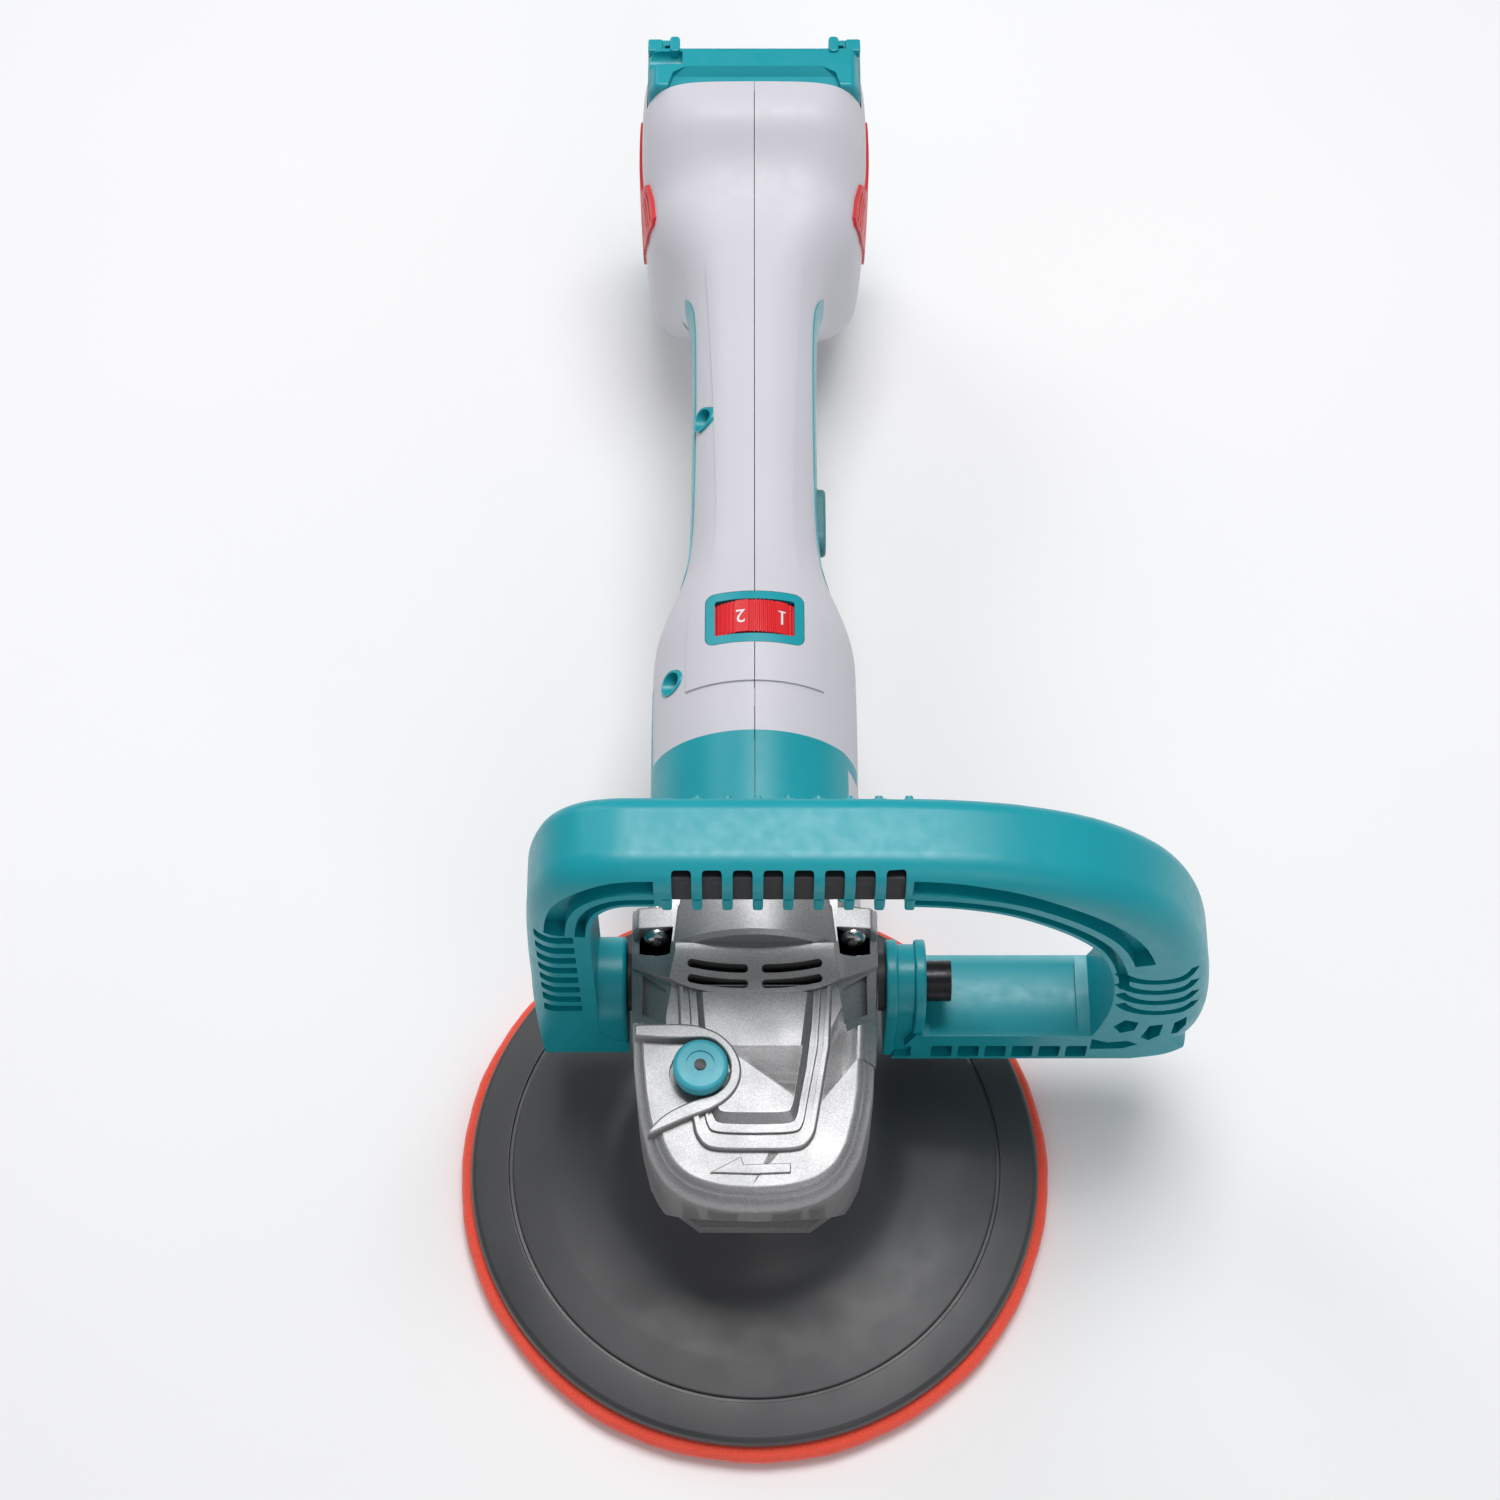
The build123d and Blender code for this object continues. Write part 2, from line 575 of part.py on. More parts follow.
def body_loft(inset, first=None, last=None):
    """Solid through the body's stations, each section brought in by the inset."""
    stations = list(BODY)
    if first is not None:
        stations[0] = (first, *BODY[0][1:])
    if last is not None:
        stations[-1] = (last, *BODY[-1][1:])
    rings = []
    for y, width, height, centre, corner in stations:
        with BuildSketch(across(y, centre)) as ring:
            RectangleRounded(width - 2 * inset, height - 2 * inset, corner - inset)
        rings.append(ring.sketch)
    return loft(rings, ruled=True)


body_outer = body_loft(0)
body_inner = body_loft(WALL, first=62.0, last=FRAME_FRONT + 1)
body_under_trim = body_loft(1.3, last=FRAME_FRONT + 1)
body_over = body_loft(-2.2, last=FRAME_FRONT)

# screw wells on the left: station y, height, depth of the seat from the seam
WELLS = [(125.0, 100.0, 12.0), (125.0, 61.0, 12.0), (223.0, 100.5, 7.0), (283.0, 64.5, 8.0), (327.0, 108.0, 12.0),
         (327.0, 26.0, 12.0)]
WELL_R = 4.2
TRIGGER_HALF = 10.7
PIVOT_Y, PIVOT_Z = 172.0, 65.0
LEADS = [(-14.5, 70.0), (-14.5, 74.5), (14.5, 70.0)]
BUTTON_Y, BUTTON_Z = 193.0, 85.0

with BuildPart() as body_shell:
    add(body_outer)
    add(body_inner, mode=Mode.SUBTRACT)
    with BuildSketch(MOTOR_AXIS.offset(49)):
        Circle(27.2)
    extrude(amount=13.5, mode=Mode.SUBTRACT)
    # rings that hold the stator, and the web that holds the rear bearing
    for y in (72.0, 96.0):
        with BuildSketch(MOTOR_AXIS.offset(y)):
            Circle(30.2)
            Circle(STATOR_R + 0.05, mode=Mode.SUBTRACT)
        extrude(amount=4)
    with BuildSketch(MOTOR_AXIS.offset(114)):
        Circle(30.2)
        Circle(13.55, mode=Mode.SUBTRACT)
        with PolarLocations(21.5, 6, start_angle=30):
            Rectangle(9, 9, mode=Mode.SUBTRACT)
    extrude(amount=5)
    # bosses for the housing screws
    for y, z, seat in WELLS:
        with BuildSketch(side(0)):
            with Locations((y, z)):
                Circle(WELL_R + 1.3)
        extrude(amount=60, both=True)
    # lugs for the trigger pin
    for hand in (1, -1):
        with BuildSketch(side(hand * (TRIGGER_HALF + 0.6))):
            with Locations((PIVOT_Y, PIVOT_Z)):
                Circle(3.3)
        extrude(amount=hand * 30)
    add(body_outer, mode=Mode.INTERSECT)
    with BuildSketch(side(-14.1)):
        with Locations((PIVOT_Y, PIVOT_Z)):
            Circle(1.55)
    extrude(amount=28.2, mode=Mode.SUBTRACT)
    # seat under the coloured front band
    with BuildSketch(MOTOR_AXIS.offset(49)):
        Circle(40)
        Circle(31.0, mode=Mode.SUBTRACT)
    extrude(amount=BAND_REAR - 49, mode=Mode.SUBTRACT)
    # front screw holes, lead holes through the web
    with BuildSketch(Plane.XZ.offset(-49)):
        with Locations(*CASE_SCREWS):
            Circle(CASE_SCREW_R + 0.05)
    extrude(amount=-13, mode=Mode.SUBTRACT)
    with BuildSketch(Plane.XZ.offset(-113)):
        with Locations(*LEADS):
            Circle(2.2)
    extrude(amount=-7, mode=Mode.SUBTRACT)
    # speed dial window, trigger slot, button slot, intake slots, grip recesses
    with BuildSketch(Plane.XY.offset(98)):
        with Locations((0, DIAL_Y)):
            RectangleRounded(31.0, 19.0, 2.6)
    extrude(amount=30, mode=Mode.SUBTRACT)
    with BuildSketch(Plane.XY.offset(66)):
        with Locations((0, 208.5)):
            Rectangle(2 * TRIGGER_HALF + 1.0, 89)
    extrude(amount=-30, mode=Mode.SUBTRACT)
    with BuildSketch(side(10)):
        with Locations((BUTTON_Y, BUTTON_Z)):
            SlotOverall(24.8, 11.8)
    extrude(amount=20, mode=Mode.SUBTRACT)
    with BuildSketch(side(0)):
        with Locations(*[(133.5 + 5.2 * i, 66.0) for i in range(5)]):
            SlotOverall(15, 2.4, rotation=90)
    extrude(amount=60, both=True, mode=Mode.SUBTRACT)

# wells open on the left, cut down to their screw seats; pilot holes on the right
with BuildPart() as well_bores:
    for y, z, seat in WELLS:
        with BuildSketch(side(-seat)):
            with Locations((y, z)):
                Circle(WELL_R)
        extrude(amount=-60)
        with BuildSketch(side(-seat - 1)):
            with Locations((y, z)):
                Circle(1.7)
        extrude(amount=seat + 13)

GRIP_SIDE = [(166, 74), (176, 67), (262, 66), (284, 72), (290, 84), (284, 93), (262, 97), (205, 98), (178, 95), (166, 86)]
with BuildPart() as grip_skin:
    add(body_outer)
    add(body_under_trim, mode=Mode.SUBTRACT)
    with BuildSketch(side(0)):
        Polygon(*GRIP_SIDE, align=None)
    extrude(amount=60, both=True, mode=Mode.INTERSECT)
    with BuildSketch(side(0)):
        with Locations((BUTTON_Y, BUTTON_Z)):
            SlotOverall(25.4, 12.4)
    extrude(amount=60, mode=Mode.SUBTRACT)

LEFT_HALF = Plane.YZ.offset(-SEAM)
RIGHT_HALF = Plane.YZ.offset(SEAM)
with BuildPart() as housing_left:
    add(body_shell.part)
    add(well_bores.part, mode=Mode.SUBTRACT)
    add(grip_skin.part, mode=Mode.SUBTRACT)
    split(bisect_by=LEFT_HALF, keep=Keep.BOTTOM)
save(housing_left.part, "housing_left")
with BuildPart() as housing_right:
    add(body_shell.part)
    add(well_bores.part, mode=Mode.SUBTRACT)
    add(grip_skin.part, mode=Mode.SUBTRACT)
    split(bisect_by=RIGHT_HALF, keep=Keep.TOP)
save(housing_right.part, "housing_right")

with BuildPart() as grip_inlay_left:
    add(grip_skin.part)
    add(well_bores.part, mode=Mode.SUBTRACT)
    split(bisect_by=LEFT_HALF, keep=Keep.BOTTOM)
save(grip_inlay_left.part, "grip_inlay_left")
with BuildPart() as grip_inlay_right:
    add(grip_skin.part)
    split(bisect_by=RIGHT_HALF, keep=Keep.TOP)
save(grip_inlay_right.part, "grip_inlay_right")

with BuildPart() as front_band:
    with BuildSketch(MOTOR_AXIS.offset(CASE_REAR + 0.05)):
        Circle(BARREL_R)
        Circle(31.03, mode=Mode.SUBTRACT)
    extrude(amount=BAND_REAR - CASE_REAR - 0.1)
with BuildPart() as band_left:
    add(front_band.part)
    split(bisect_by=LEFT_HALF, keep=Keep.BOTTOM)
save(band_left.part, "band_left")
with BuildPart() as band_right:
    add(front_band.part)
    split(bisect_by=RIGHT_HALF, keep=Keep.TOP)
save(band_right.part, "band_right")

with BuildPart() as screw_wells:
    for y, z, seat in WELLS[:3]:
        with BuildSketch(side(-seat - 0.02)):
            with Locations((y, z)):
                Circle(WELL_R - 0.03)
                Circle(WELL_R - 0.75, mode=Mode.SUBTRACT)
        extrude(amount=-40)
    add(body_outer, mode=Mode.INTERSECT)
save(screw_wells.part, "screw_wells")
WELL_SEATS = [Plane(origin=(-seat - 0.05, y, z), x_dir=(0, 1, 0), z_dir=(1, 0, 0)) for y, z, seat in WELLS]
screw_set(WELL_SEATS, 3.2, 2.4, 1.6, 18.0, "housing_screws")

# red side bumpers, wrapped over the front corners of the foot
with BuildPart() as bumper_skin:
    add(body_over)
    add(body_outer, mode=Mode.SUBTRACT)
    with BuildSketch(side(0)):
        Polygon(
            (306, 54), (311, 46), (319, 42), (336, 40), (341, 46), (341, 92), (336, 98), (319, 96), (311, 92),
            (306, 84), align=None,
        )
    extrude(amount=60, both=True, mode=Mode.INTERSECT)
with BuildPart() as bumper_left:
    add(bumper_skin.part)
    split(bisect_by=LEFT_HALF, keep=Keep.BOTTOM)
save(bumper_left.part, "side_bumper_left")
with BuildPart() as bumper_right:
    add(bumper_skin.part)
    split(bisect_by=RIGHT_HALF, keep=Keep.TOP)
save(bumper_right.part, "side_bumper_right")

# ---------------------------------------------------------------- speed dial
DIAL_AXIS = Plane(origin=(0, DIAL_Y - DIAL_W / 2, DIAL_Z), x_dir=(1, 0, 0), z_dir=(0, 1, 0))
with BuildPart() as dial_bezel:
    with BuildSketch(Plane.XY.offset(98)):
        with Locations((0, DIAL_Y)):
            RectangleRounded(30.8, 18.8, 2.5)
            RectangleRounded(25.2, 12.6, 1.2, mode=Mode.SUBTRACT)
    extrude(amount=20)
    with BuildSketch(MOTOR_AXIS.offset(DIAL_Y - 15)):
        Circle(BARREL_R + 0.35)
        Circle(BARREL_R - 3.4, mode=Mode.SUBTRACT)
    extrude(amount=30, mode=Mode.INTERSECT)
    with BuildSketch(DIAL_AXIS.offset(-0.5)):
        Circle(DIAL_R + 0.5)
    extrude(amount=DIAL_W + 1, mode=Mode.SUBTRACT)
save(dial_bezel.part, "dial_bezel")

with BuildPart() as speed_dial:
    with BuildSketch(DIAL_AXIS):
        Circle(DIAL_R)
        Circle(3.05, mode=Mode.SUBTRACT)
    extrude(amount=DIAL_W)
    fillet(speed_dial.edges().filter_by(GeomType.CIRCLE).sort_by(SortBy.RADIUS)[-2:], 0.7)
    with BuildSketch(DIAL_AXIS.offset(-1)):
        with PolarLocations(DIAL_R + 0.1, 72):
            Circle(0.35)
    extrude(amount=DIAL_W + 2, mode=Mode.SUBTRACT)
save(speed_dial.part, "speed_dial")

with BuildPart() as dial_spindle:
    with BuildSketch(DIAL_AXIS.offset(-3)):
        Circle(3.0)
    extrude(amount=DIAL_W + 9.9)
save(dial_spindle.part, "dial_spindle")

with BuildPart() as speed_potentiometer:
    with BuildSketch(DIAL_AXIS.offset(DIAL_W + 1.2)):
        Circle(8)
        Circle(3.05, mode=Mode.SUBTRACT)
    extrude(amount=6)
    with BuildSketch(DIAL_AXIS.offset(DIAL_W + 7.2)):
        Rectangle(18, 15)
    extrude(amount=1.6)
save(speed_potentiometer.part, "speed_potentiometer")

# ---------------------------------------------------------------- trigger and switch
TRIGGER_PROFILE = [
    (168.5, 68), (168, 61), (171, 56), (178, 52.6), (200, 50), (232, 49.6), (244, 51), (249.5, 54.5), (251, 58.5),
    (249.5, 60.6), (180, 60.6), (175.5, 68),
]
with BuildPart() as trigger:
    with BuildSketch(side(-TRIGGER_HALF)):
        Polygon(*TRIGGER_PROFILE, align=None)
        with Locations((PIVOT_Y, PIVOT_Z)):
            Circle(1.55, mode=Mode.SUBTRACT)
    extrude(amount=2 * TRIGGER_HALF)
    with BuildSketch(Plane.XY.offset(60)):
        with Locations((0, 205)):
            Circle(2.5)
    extrude(amount=8)
save(trigger.part, "trigger")

with BuildPart() as trigger_pin:
    with BuildSketch(side(-14)):
        with Locations((PIVOT_Y, PIVOT_Z)):
            Circle(1.5)
    extrude(amount=28)
save(trigger_pin.part, "trigger_pin")

SWITCH_BOTTOM = 67.0
with BuildPart() as switch_module:
    with BuildSketch(Plane.XY.offset(SWITCH_BOTTOM)):
        with Locations((0, 206)):
            Rectangle(18, 52)
        with Locations((0, 205), (0, 222)):
            Circle(4.2, mode=Mode.SUBTRACT)
    extrude(amount=8)
    with BuildSketch(Plane.XY.offset(SWITCH_BOTTOM + 8)):
        with Locations((0, 206)):
            Rectangle(18, 52)
    extrude(amount=13)
save(switch_module.part, "switch_module")
save(coil_spring(0, 222, 60.8, SWITCH_BOTTOM + 7.9, 3.0, 0.4, 6), "trigger_spring")

with BuildPart() as lock_on_button:
    with BuildSketch(side(14.6)):
        with Locations((BUTTON_Y, BUTTON_Z)):
            SlotOverall(27.5, 13.6)
    extrude(amount=1.4)
    with BuildSketch(side(16)):
        with Locations((BUTTON_Y, BUTTON_Z)):
            SlotOverall(24.0, 11.0)
    extrude(amount=7.1)
    fillet(lock_on_button.faces().sort_by(Axis.X)[-1].edges(), 1.2)
save(lock_on_button.part, "lock_on_button")

with BuildPart() as controller_module:
    with BuildSketch(Plane.XY.offset(71)):
        with Locations((0, 265)):
            Rectangle(28, 46)
    extrude(amount=20)
    with BuildSketch(Plane.XZ.offset(-242)):
        with Locations(*[(-12.6 + 3.6 * i, 94) for i in range(8)]):
            Rectangle(1.4, 6.4)
    extrude(amount=-46)
save(controller_module.part, "controller_module")

with BuildPart() as motor_leads:
    with BuildSketch(Plane.XZ.offset(-107)):
        with Locations(*LEADS):
            Circle(1.2)
    extrude(amount=-134.95)
save(motor_leads.part, "motor_leads")

# ---------------------------------------------------------------- battery end frame
FRAME_CENTRE = 68.0
FRAME_PLANE = Plane(origin=(0, FRAME_FRONT + 0.1, FRAME_CENTRE), x_dir=(-1, 0, 0), z_dir=(0, 1, 0))
RAIL_IN, RAIL_OUT, RAIL_TOP = 27.5, 34.0, 366.0
with BuildPart() as battery_frame:
    with BuildSketch(FRAME_PLANE):
        RectangleRounded(74.0, 108.5, 9)
    extrude(amount=FRAME_REAR - FRAME_FRONT - 0.1)
    fillet(battery_frame.faces().sort_by(Axis.Y)[-1].edges(), 1.5)
    # hollow behind the face plate
    with BuildSketch(FRAME_PLANE):
        RectangleRounded(66.0, 100.0, 6)
    extrude(amount=FRAME_REAR - FRAME_FRONT - 5, mode=Mode.SUBTRACT)
    # terminal window
    with BuildSketch(FRAME_PLANE):
        with Locations((0, 2)):
            RectangleRounded(36.4, 42.4, 2)
    extrude(amount=30, mode=Mode.SUBTRACT)
    # two undercut rails and the latch notch
    for hand in (1, -1):
        with BuildSketch(Plane.XY.offset(18)):
            Polygon(
                (hand * (RAIL_IN + 3), FRAME_REAR - 1), (hand * (RAIL_IN + 3), RAIL_TOP - 2.4),
                (hand * RAIL_IN, RAIL_TOP - 2.4), (hand * RAIL_IN, RAIL_TOP), (hand * RAIL_OUT, RAIL_TOP),
                (hand * RAIL_OUT, FRAME_REAR - 1), align=None,
            )
        extrude(amount=102)
    with BuildSketch(Plane.XY.offset(104)):
        with Locations((0, FRAME_REAR)):
            Rectangle(18, 6)
    extrude(amount=9, mode=Mode.SUBTRACT)
save(battery_frame.part, "battery_frame")

with BuildPart() as terminal_block:
    with BuildSketch(FRAME_PLANE.offset(6)):
        with Locations((0, 2)):
            RectangleRounded(40, 46, 2)
    extrude(amount=5.6)
    with BuildSketch(FRAME_PLANE.offset(6)):
        with Locations((0, 2)):
            RectangleRounded(36, 42, 2)
    extrude(amount=11.9)
    with BuildSketch(FRAME_PLANE.offset(5)):
        with Locations(*[(x, 2) for x in (-12, -6, 6, 12)]):
            Rectangle(1.3, 26.1)
    extrude(amount=30, mode=Mode.SUBTRACT)
save(terminal_block.part, "terminal_block")

with BuildPart() as terminal_blades:
    with BuildSketch(FRAME_PLANE.offset(2)):
        with Locations(*[(x, 2) for x in (-12, -6, 6, 12)]):
            Rectangle(1.2, 26)
    extrude(amount=20.5)
save(terminal_blades.part, "terminal_blades")

# ---------------------------------------------------------------- loop handle
GRIP_FRONT, GRIP_BACK = 21.5, 48.5
BAR_TOP, BAR_BOTTOM = 176.0, 158.5
with BuildPart() as loop_handle:
    with BuildSketch(Plane.XZ.offset(-GRIP_FRONT)):
        with BuildLine():
            Polyline((-38.5, 86), (-38.5, 52), (-66.5, 52), (-66.5, 150))
            Bezier((-66.5, 150), (-66.5, 170), (-58, 176), (-40, BAR_TOP))
            Line((-40, BAR_TOP), (36, BAR_TOP))
            Spline((36, BAR_TOP), (92.5, 166), (123, 137), (136, 84), (133, 60), tangents=((1, 0), (-0.4, -1)))
            Bezier((133, 60), (130, 52), (125, 47), (114, 47))
            Polyline((114, 47), (39.5, 47), (39.5, 84))
            ThreePointArc((39.5, 84), (45.5, 90), (51.5, 84))
            Polyline((51.5, 84), (51.5, 65), (104, 65))
            Spline((104, 65), (108, 92), (100, 126), (72, 151.5), (44.5, BAR_BOTTOM), tangents=((0.3, 1), (-1, 0.05)))
            Line((44.5, BAR_BOTTOM), (-40, BAR_BOTTOM))
            Bezier((-40, BAR_BOTTOM), (-45, BAR_BOTTOM), (-47, 155), (-47, 150))
            Polyline((-47, 150), (-47, 90), (-42.5, 90), (-38.5, 86))
        make_face()
    extrude(amount=-(GRIP_BACK - GRIP_FRONT))
    # bolt holes, the left one sunk
    with BuildSketch(side(30)):
        with Locations((BOLT_Y, BOLT_Z)):
            Circle(4.08)
    extrude(amount=30, mode=Mode.SUBTRACT)
    with BuildSketch(side(-30)):
        with Locations((BOLT_Y, BOLT_Z)):
            Circle(4.08)
    extrude(amount=-40, mode=Mode.SUBTRACT)
    with BuildSketch(side(-52)):
        with Locations((BOLT_Y, BOLT_Z)):
            Circle(7.6)
    extrude(amount=-20, mode=Mode.SUBTRACT)
save(loop_handle.part, "loop_handle")

with BuildPart() as washers:
    with BuildSketch(side(CASE_HALF + 0.1)):
        with Locations((BOLT_Y, BOLT_Z)):
            Circle(9)
            Circle(4.1, mode=Mode.SUBTRACT)
    extrude(amount=39.2 - CASE_HALF)
    with BuildSketch(side(-CASE_HALF - 0.1)):
        with Locations((BOLT_Y, BOLT_Z)):
            Circle(9)
            Circle(4.1, mode=Mode.SUBTRACT)
    extrude(amount=CASE_HALF - 38.2)
save(washers.part, "handle_washers")

BOLT_SEATS = [
    Plane(origin=(51.8, BOLT_Y, BOLT_Z), x_dir=(0, 1, 0), z_dir=(-1, 0, 0)),
    Plane(origin=(-52.3, BOLT_Y, BOLT_Z), x_dir=(0, 1, 0), z_dir=(1, 0, 0)),
]
screw_set(BOLT_SEATS, 6.2, 7.6, 4.0, 26.0, "handle_bolts")
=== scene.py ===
"""Looks of the cordless rotary polisher, built around its fixed mechanical frame.

Each sub-assembly is a class with its sizes in millimetres. It models its own pieces at their real place, gives
them a finish and says which moving body they ride on. The frame is in metres: +Z up along the spindle, +Y along
the grip towards the battery end, +X to the side of the hand loop.
"""

from __future__ import annotations

import json
import logging
import math
from contextlib import contextmanager
from dataclasses import dataclass, field
from enum import Enum
from typing import Iterator, Sequence

import bmesh
import bpy
from mathutils import Matrix, Vector

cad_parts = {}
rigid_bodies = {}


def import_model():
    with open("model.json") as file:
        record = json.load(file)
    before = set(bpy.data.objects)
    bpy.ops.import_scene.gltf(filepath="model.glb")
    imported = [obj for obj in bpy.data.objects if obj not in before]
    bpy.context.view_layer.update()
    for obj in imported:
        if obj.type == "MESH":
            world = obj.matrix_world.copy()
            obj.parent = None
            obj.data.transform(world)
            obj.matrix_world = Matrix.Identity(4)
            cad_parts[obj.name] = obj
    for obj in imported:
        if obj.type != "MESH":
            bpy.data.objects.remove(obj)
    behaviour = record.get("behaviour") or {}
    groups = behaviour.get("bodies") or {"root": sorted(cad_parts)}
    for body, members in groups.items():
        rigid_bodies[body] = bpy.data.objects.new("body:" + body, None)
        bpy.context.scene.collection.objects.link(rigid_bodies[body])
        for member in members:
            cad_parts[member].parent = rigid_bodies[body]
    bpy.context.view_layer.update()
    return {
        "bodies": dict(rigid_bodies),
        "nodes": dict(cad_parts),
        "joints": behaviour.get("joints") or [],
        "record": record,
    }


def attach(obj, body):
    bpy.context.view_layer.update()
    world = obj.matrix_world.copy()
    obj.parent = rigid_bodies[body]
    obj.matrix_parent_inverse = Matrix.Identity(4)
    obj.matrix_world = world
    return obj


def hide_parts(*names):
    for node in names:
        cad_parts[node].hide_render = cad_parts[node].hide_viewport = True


log = logging.getLogger("rotary_polisher")

MM = 0.001
Point = tuple[float, float]
Colour = tuple[float, float, float]


class Part(str, Enum):
    """Moving bodies of the polisher."""

    BODY = "body"
    SPINDLE = "spindle"
    ROTOR = "rotor"
    LOCK = "lock_button"
    DIAL = "dial"
    TRIGGER = "trigger"
    LOCK_ON = "lock_on"
    HANDLE = "handle"


class Along(Enum):
    """The axis that a flat outline is drawn square to."""

    X = 0
    Y = 1
    Z = 2


# ---------------------------------------------------------------- bench: edit-mode tools


def clear_selection() -> None:
    """Leaves edit mode and deselects everything."""
    if bpy.context.mode != "OBJECT":
        bpy.ops.object.mode_set(mode="OBJECT")
    bpy.ops.object.select_all(action="DESELECT")


def take(piece: bpy.types.Object) -> bpy.types.Object:
    """Makes a piece the only selected and active object.

    Args:
        piece: The object to take in hand.

    Returns:
        The same object.
    """
    clear_selection()
    piece.select_set(True)
    bpy.context.view_layer.objects.active = piece
    return piece


@contextmanager
def editing(piece: bpy.types.Object, mode: str = "VERT") -> Iterator[bmesh.types.BMesh]:
    """Opens a piece in edit mode with nothing selected.

    Args:
        piece: The object to edit.
        mode: VERT, EDGE or FACE selection.

    Yields:
        The piece's edit mesh.
    """
    take(piece)
    bpy.ops.object.mode_set(mode="EDIT")
    bpy.ops.mesh.select_mode(type=mode)
    bpy.ops.mesh.select_all(action="DESELECT")
    yield bmesh.from_edit_mesh(piece.data)
    bpy.ops.object.mode_set(mode="OBJECT")


def new_piece(name: str) -> bpy.types.Object:
    """Names the object that an add operator has just made and gives it its own mesh name."""
    piece = bpy.context.active_object
    piece.name = name
    piece.data.name = name
    return piece


def settle(piece: bpy.types.Object) -> bpy.types.Object:
    """Applies a piece's place, turn and scale to its mesh."""
    take(piece)
    bpy.ops.object.transform_apply(location=True, rotation=True, scale=True)
    return piece


def spot(u: float, v: float, depth: float, along: Along) -> Vector:
    """Point of a flat outline in metres.

    Args:
        u: First coordinate in the outline's plane, in millimetres (X, or Y for an outline square to X).
        v: Second coordinate, in millimetres (Z, or Y for an outline square to Z).
        depth: Place along the axis square to the plane, in millimetres.
        along: That axis.

    Returns:
        The point in the shared frame.
    """
    if along is Along.X:
        return Vector((depth, u, v)) * MM
    if along is Along.Y:
        return Vector((u, depth, v)) * MM
    return Vector((u, v, depth)) * MM


def draw_chain(name: str, points: Sequence[Vector]) -> bpy.types.Object:
    """Draws a chain of vertices by extruding from one point to the next.

    Args:
        name: Name of the new object.
        points: Places in the shared frame, in metres.

    Returns:
        An object whose mesh is the open chain.
    """
    clear_selection()
    bpy.ops.mesh.primitive_plane_add(size=MM, location=points[0])
    chain = settle(new_piece(name))
    with editing(chain):
        bpy.ops.mesh.select_all(action="SELECT")
        bpy.ops.mesh.merge(type="CENTER")
        for here, there in zip(points, points[1:]):
            bpy.ops.mesh.extrude_vertices_move(TRANSFORM_OT_translate={"value": there - here})
    return chain


def face_out(piece: bpy.types.Object, merge: float = 1e-6) -> bpy.types.Object:
    """Merges doubled vertices and turns every face outwards."""
    with editing(piece):
        bpy.ops.mesh.select_all(action="SELECT")
        bpy.ops.mesh.remove_doubles(threshold=merge)
        bpy.ops.mesh.normals_make_consistent(inside=False)
    return piece


def prism(name: str, outline: Sequence[Point], low: float, high: float, along: Along) -> bpy.types.Object:
    """Closed solid from a flat outline.

    Args:
        name: Name of the new object.
        outline: Corner points in the outline's plane, in millimetres.
        low: Start of the solid along its axis, in millimetres.
        high: End of the solid along its axis, in millimetres.
        along: The axis square to the outline.

    Returns:
        The new solid.
    """
    solid = draw_chain(name, [spot(u, v, low, along) for u, v in outline])
    with editing(solid):
        bpy.ops.mesh.select_all(action="SELECT")
        bpy.ops.mesh.edge_face_add()
        step = spot(0, 0, high - low, along)
        bpy.ops.mesh.extrude_region_move(TRANSFORM_OT_translate={"value": step})
    return face_out(solid)


def lathe(
    name: str, profile: Sequence[Point], centre: Vector, axis: Vector, side: Vector, steps: int = 128
) -> bpy.types.Object:
    """Turned solid: a profile of radius and height spun about an axis.

    Args:
        name: Name of the new object.
        profile: Points as (radius, height) in millimetres; it starts and ends on the axis or closes on itself.
        centre: Point of the axis at height 0, in metres.
        axis: Unit vector of the axis.
        side: Unit vector square to the axis, where the profile is drawn.
        steps: Number of steps of the full turn.

    Returns:
        The new solid.
    """
    points = [centre + side * (r * MM) + axis * (h * MM) for r, h in profile]
    turned = draw_chain(name, points)
    with editing(turned):
        bpy.ops.mesh.select_all(action="SELECT")
        bpy.ops.mesh.spin(steps=steps, angle=math.tau, center=centre, axis=axis)
    return face_out(turned)


def cylinder(
    name: str, centre: Sequence[float], radius: float, length: float, along: Along, sides: int = 48
) -> bpy.types.Object:
    """Round bar used as a cutter or as the start of a piece.

    Args:
        name: Name of the new object.
        centre: Middle of the bar, in millimetres.
        radius: Radius in millimetres.
        length: Length in millimetres.
        along: Axis of the bar.
        sides: Number of sides.

    Returns:
        The new solid.
    """
    turn = {Along.X: (0, math.pi / 2, 0), Along.Y: (math.pi / 2, 0, 0), Along.Z: (0, 0, 0)}[along]
    clear_selection()
    bpy.ops.mesh.primitive_cylinder_add(
        vertices=sides, radius=radius * MM, depth=length * MM, location=Vector(centre) * MM, rotation=turn
    )
    return settle(new_piece(name))


def apply_modifier(piece: bpy.types.Object, kind: str, **settings: object) -> bpy.types.Object:
    """Adds a modifier to a piece and applies it.

    Args:
        piece: The object.
        kind: The modifier's type.
        **settings: The modifier's properties.

    Returns:
        The same object.
    """
    take(piece)
    modifier = piece.modifiers.new(kind.title(), kind)
    for key, value in settings.items():
        setattr(modifier, key, value)
    bpy.ops.object.modifier_apply(modifier=modifier.name)
    return piece


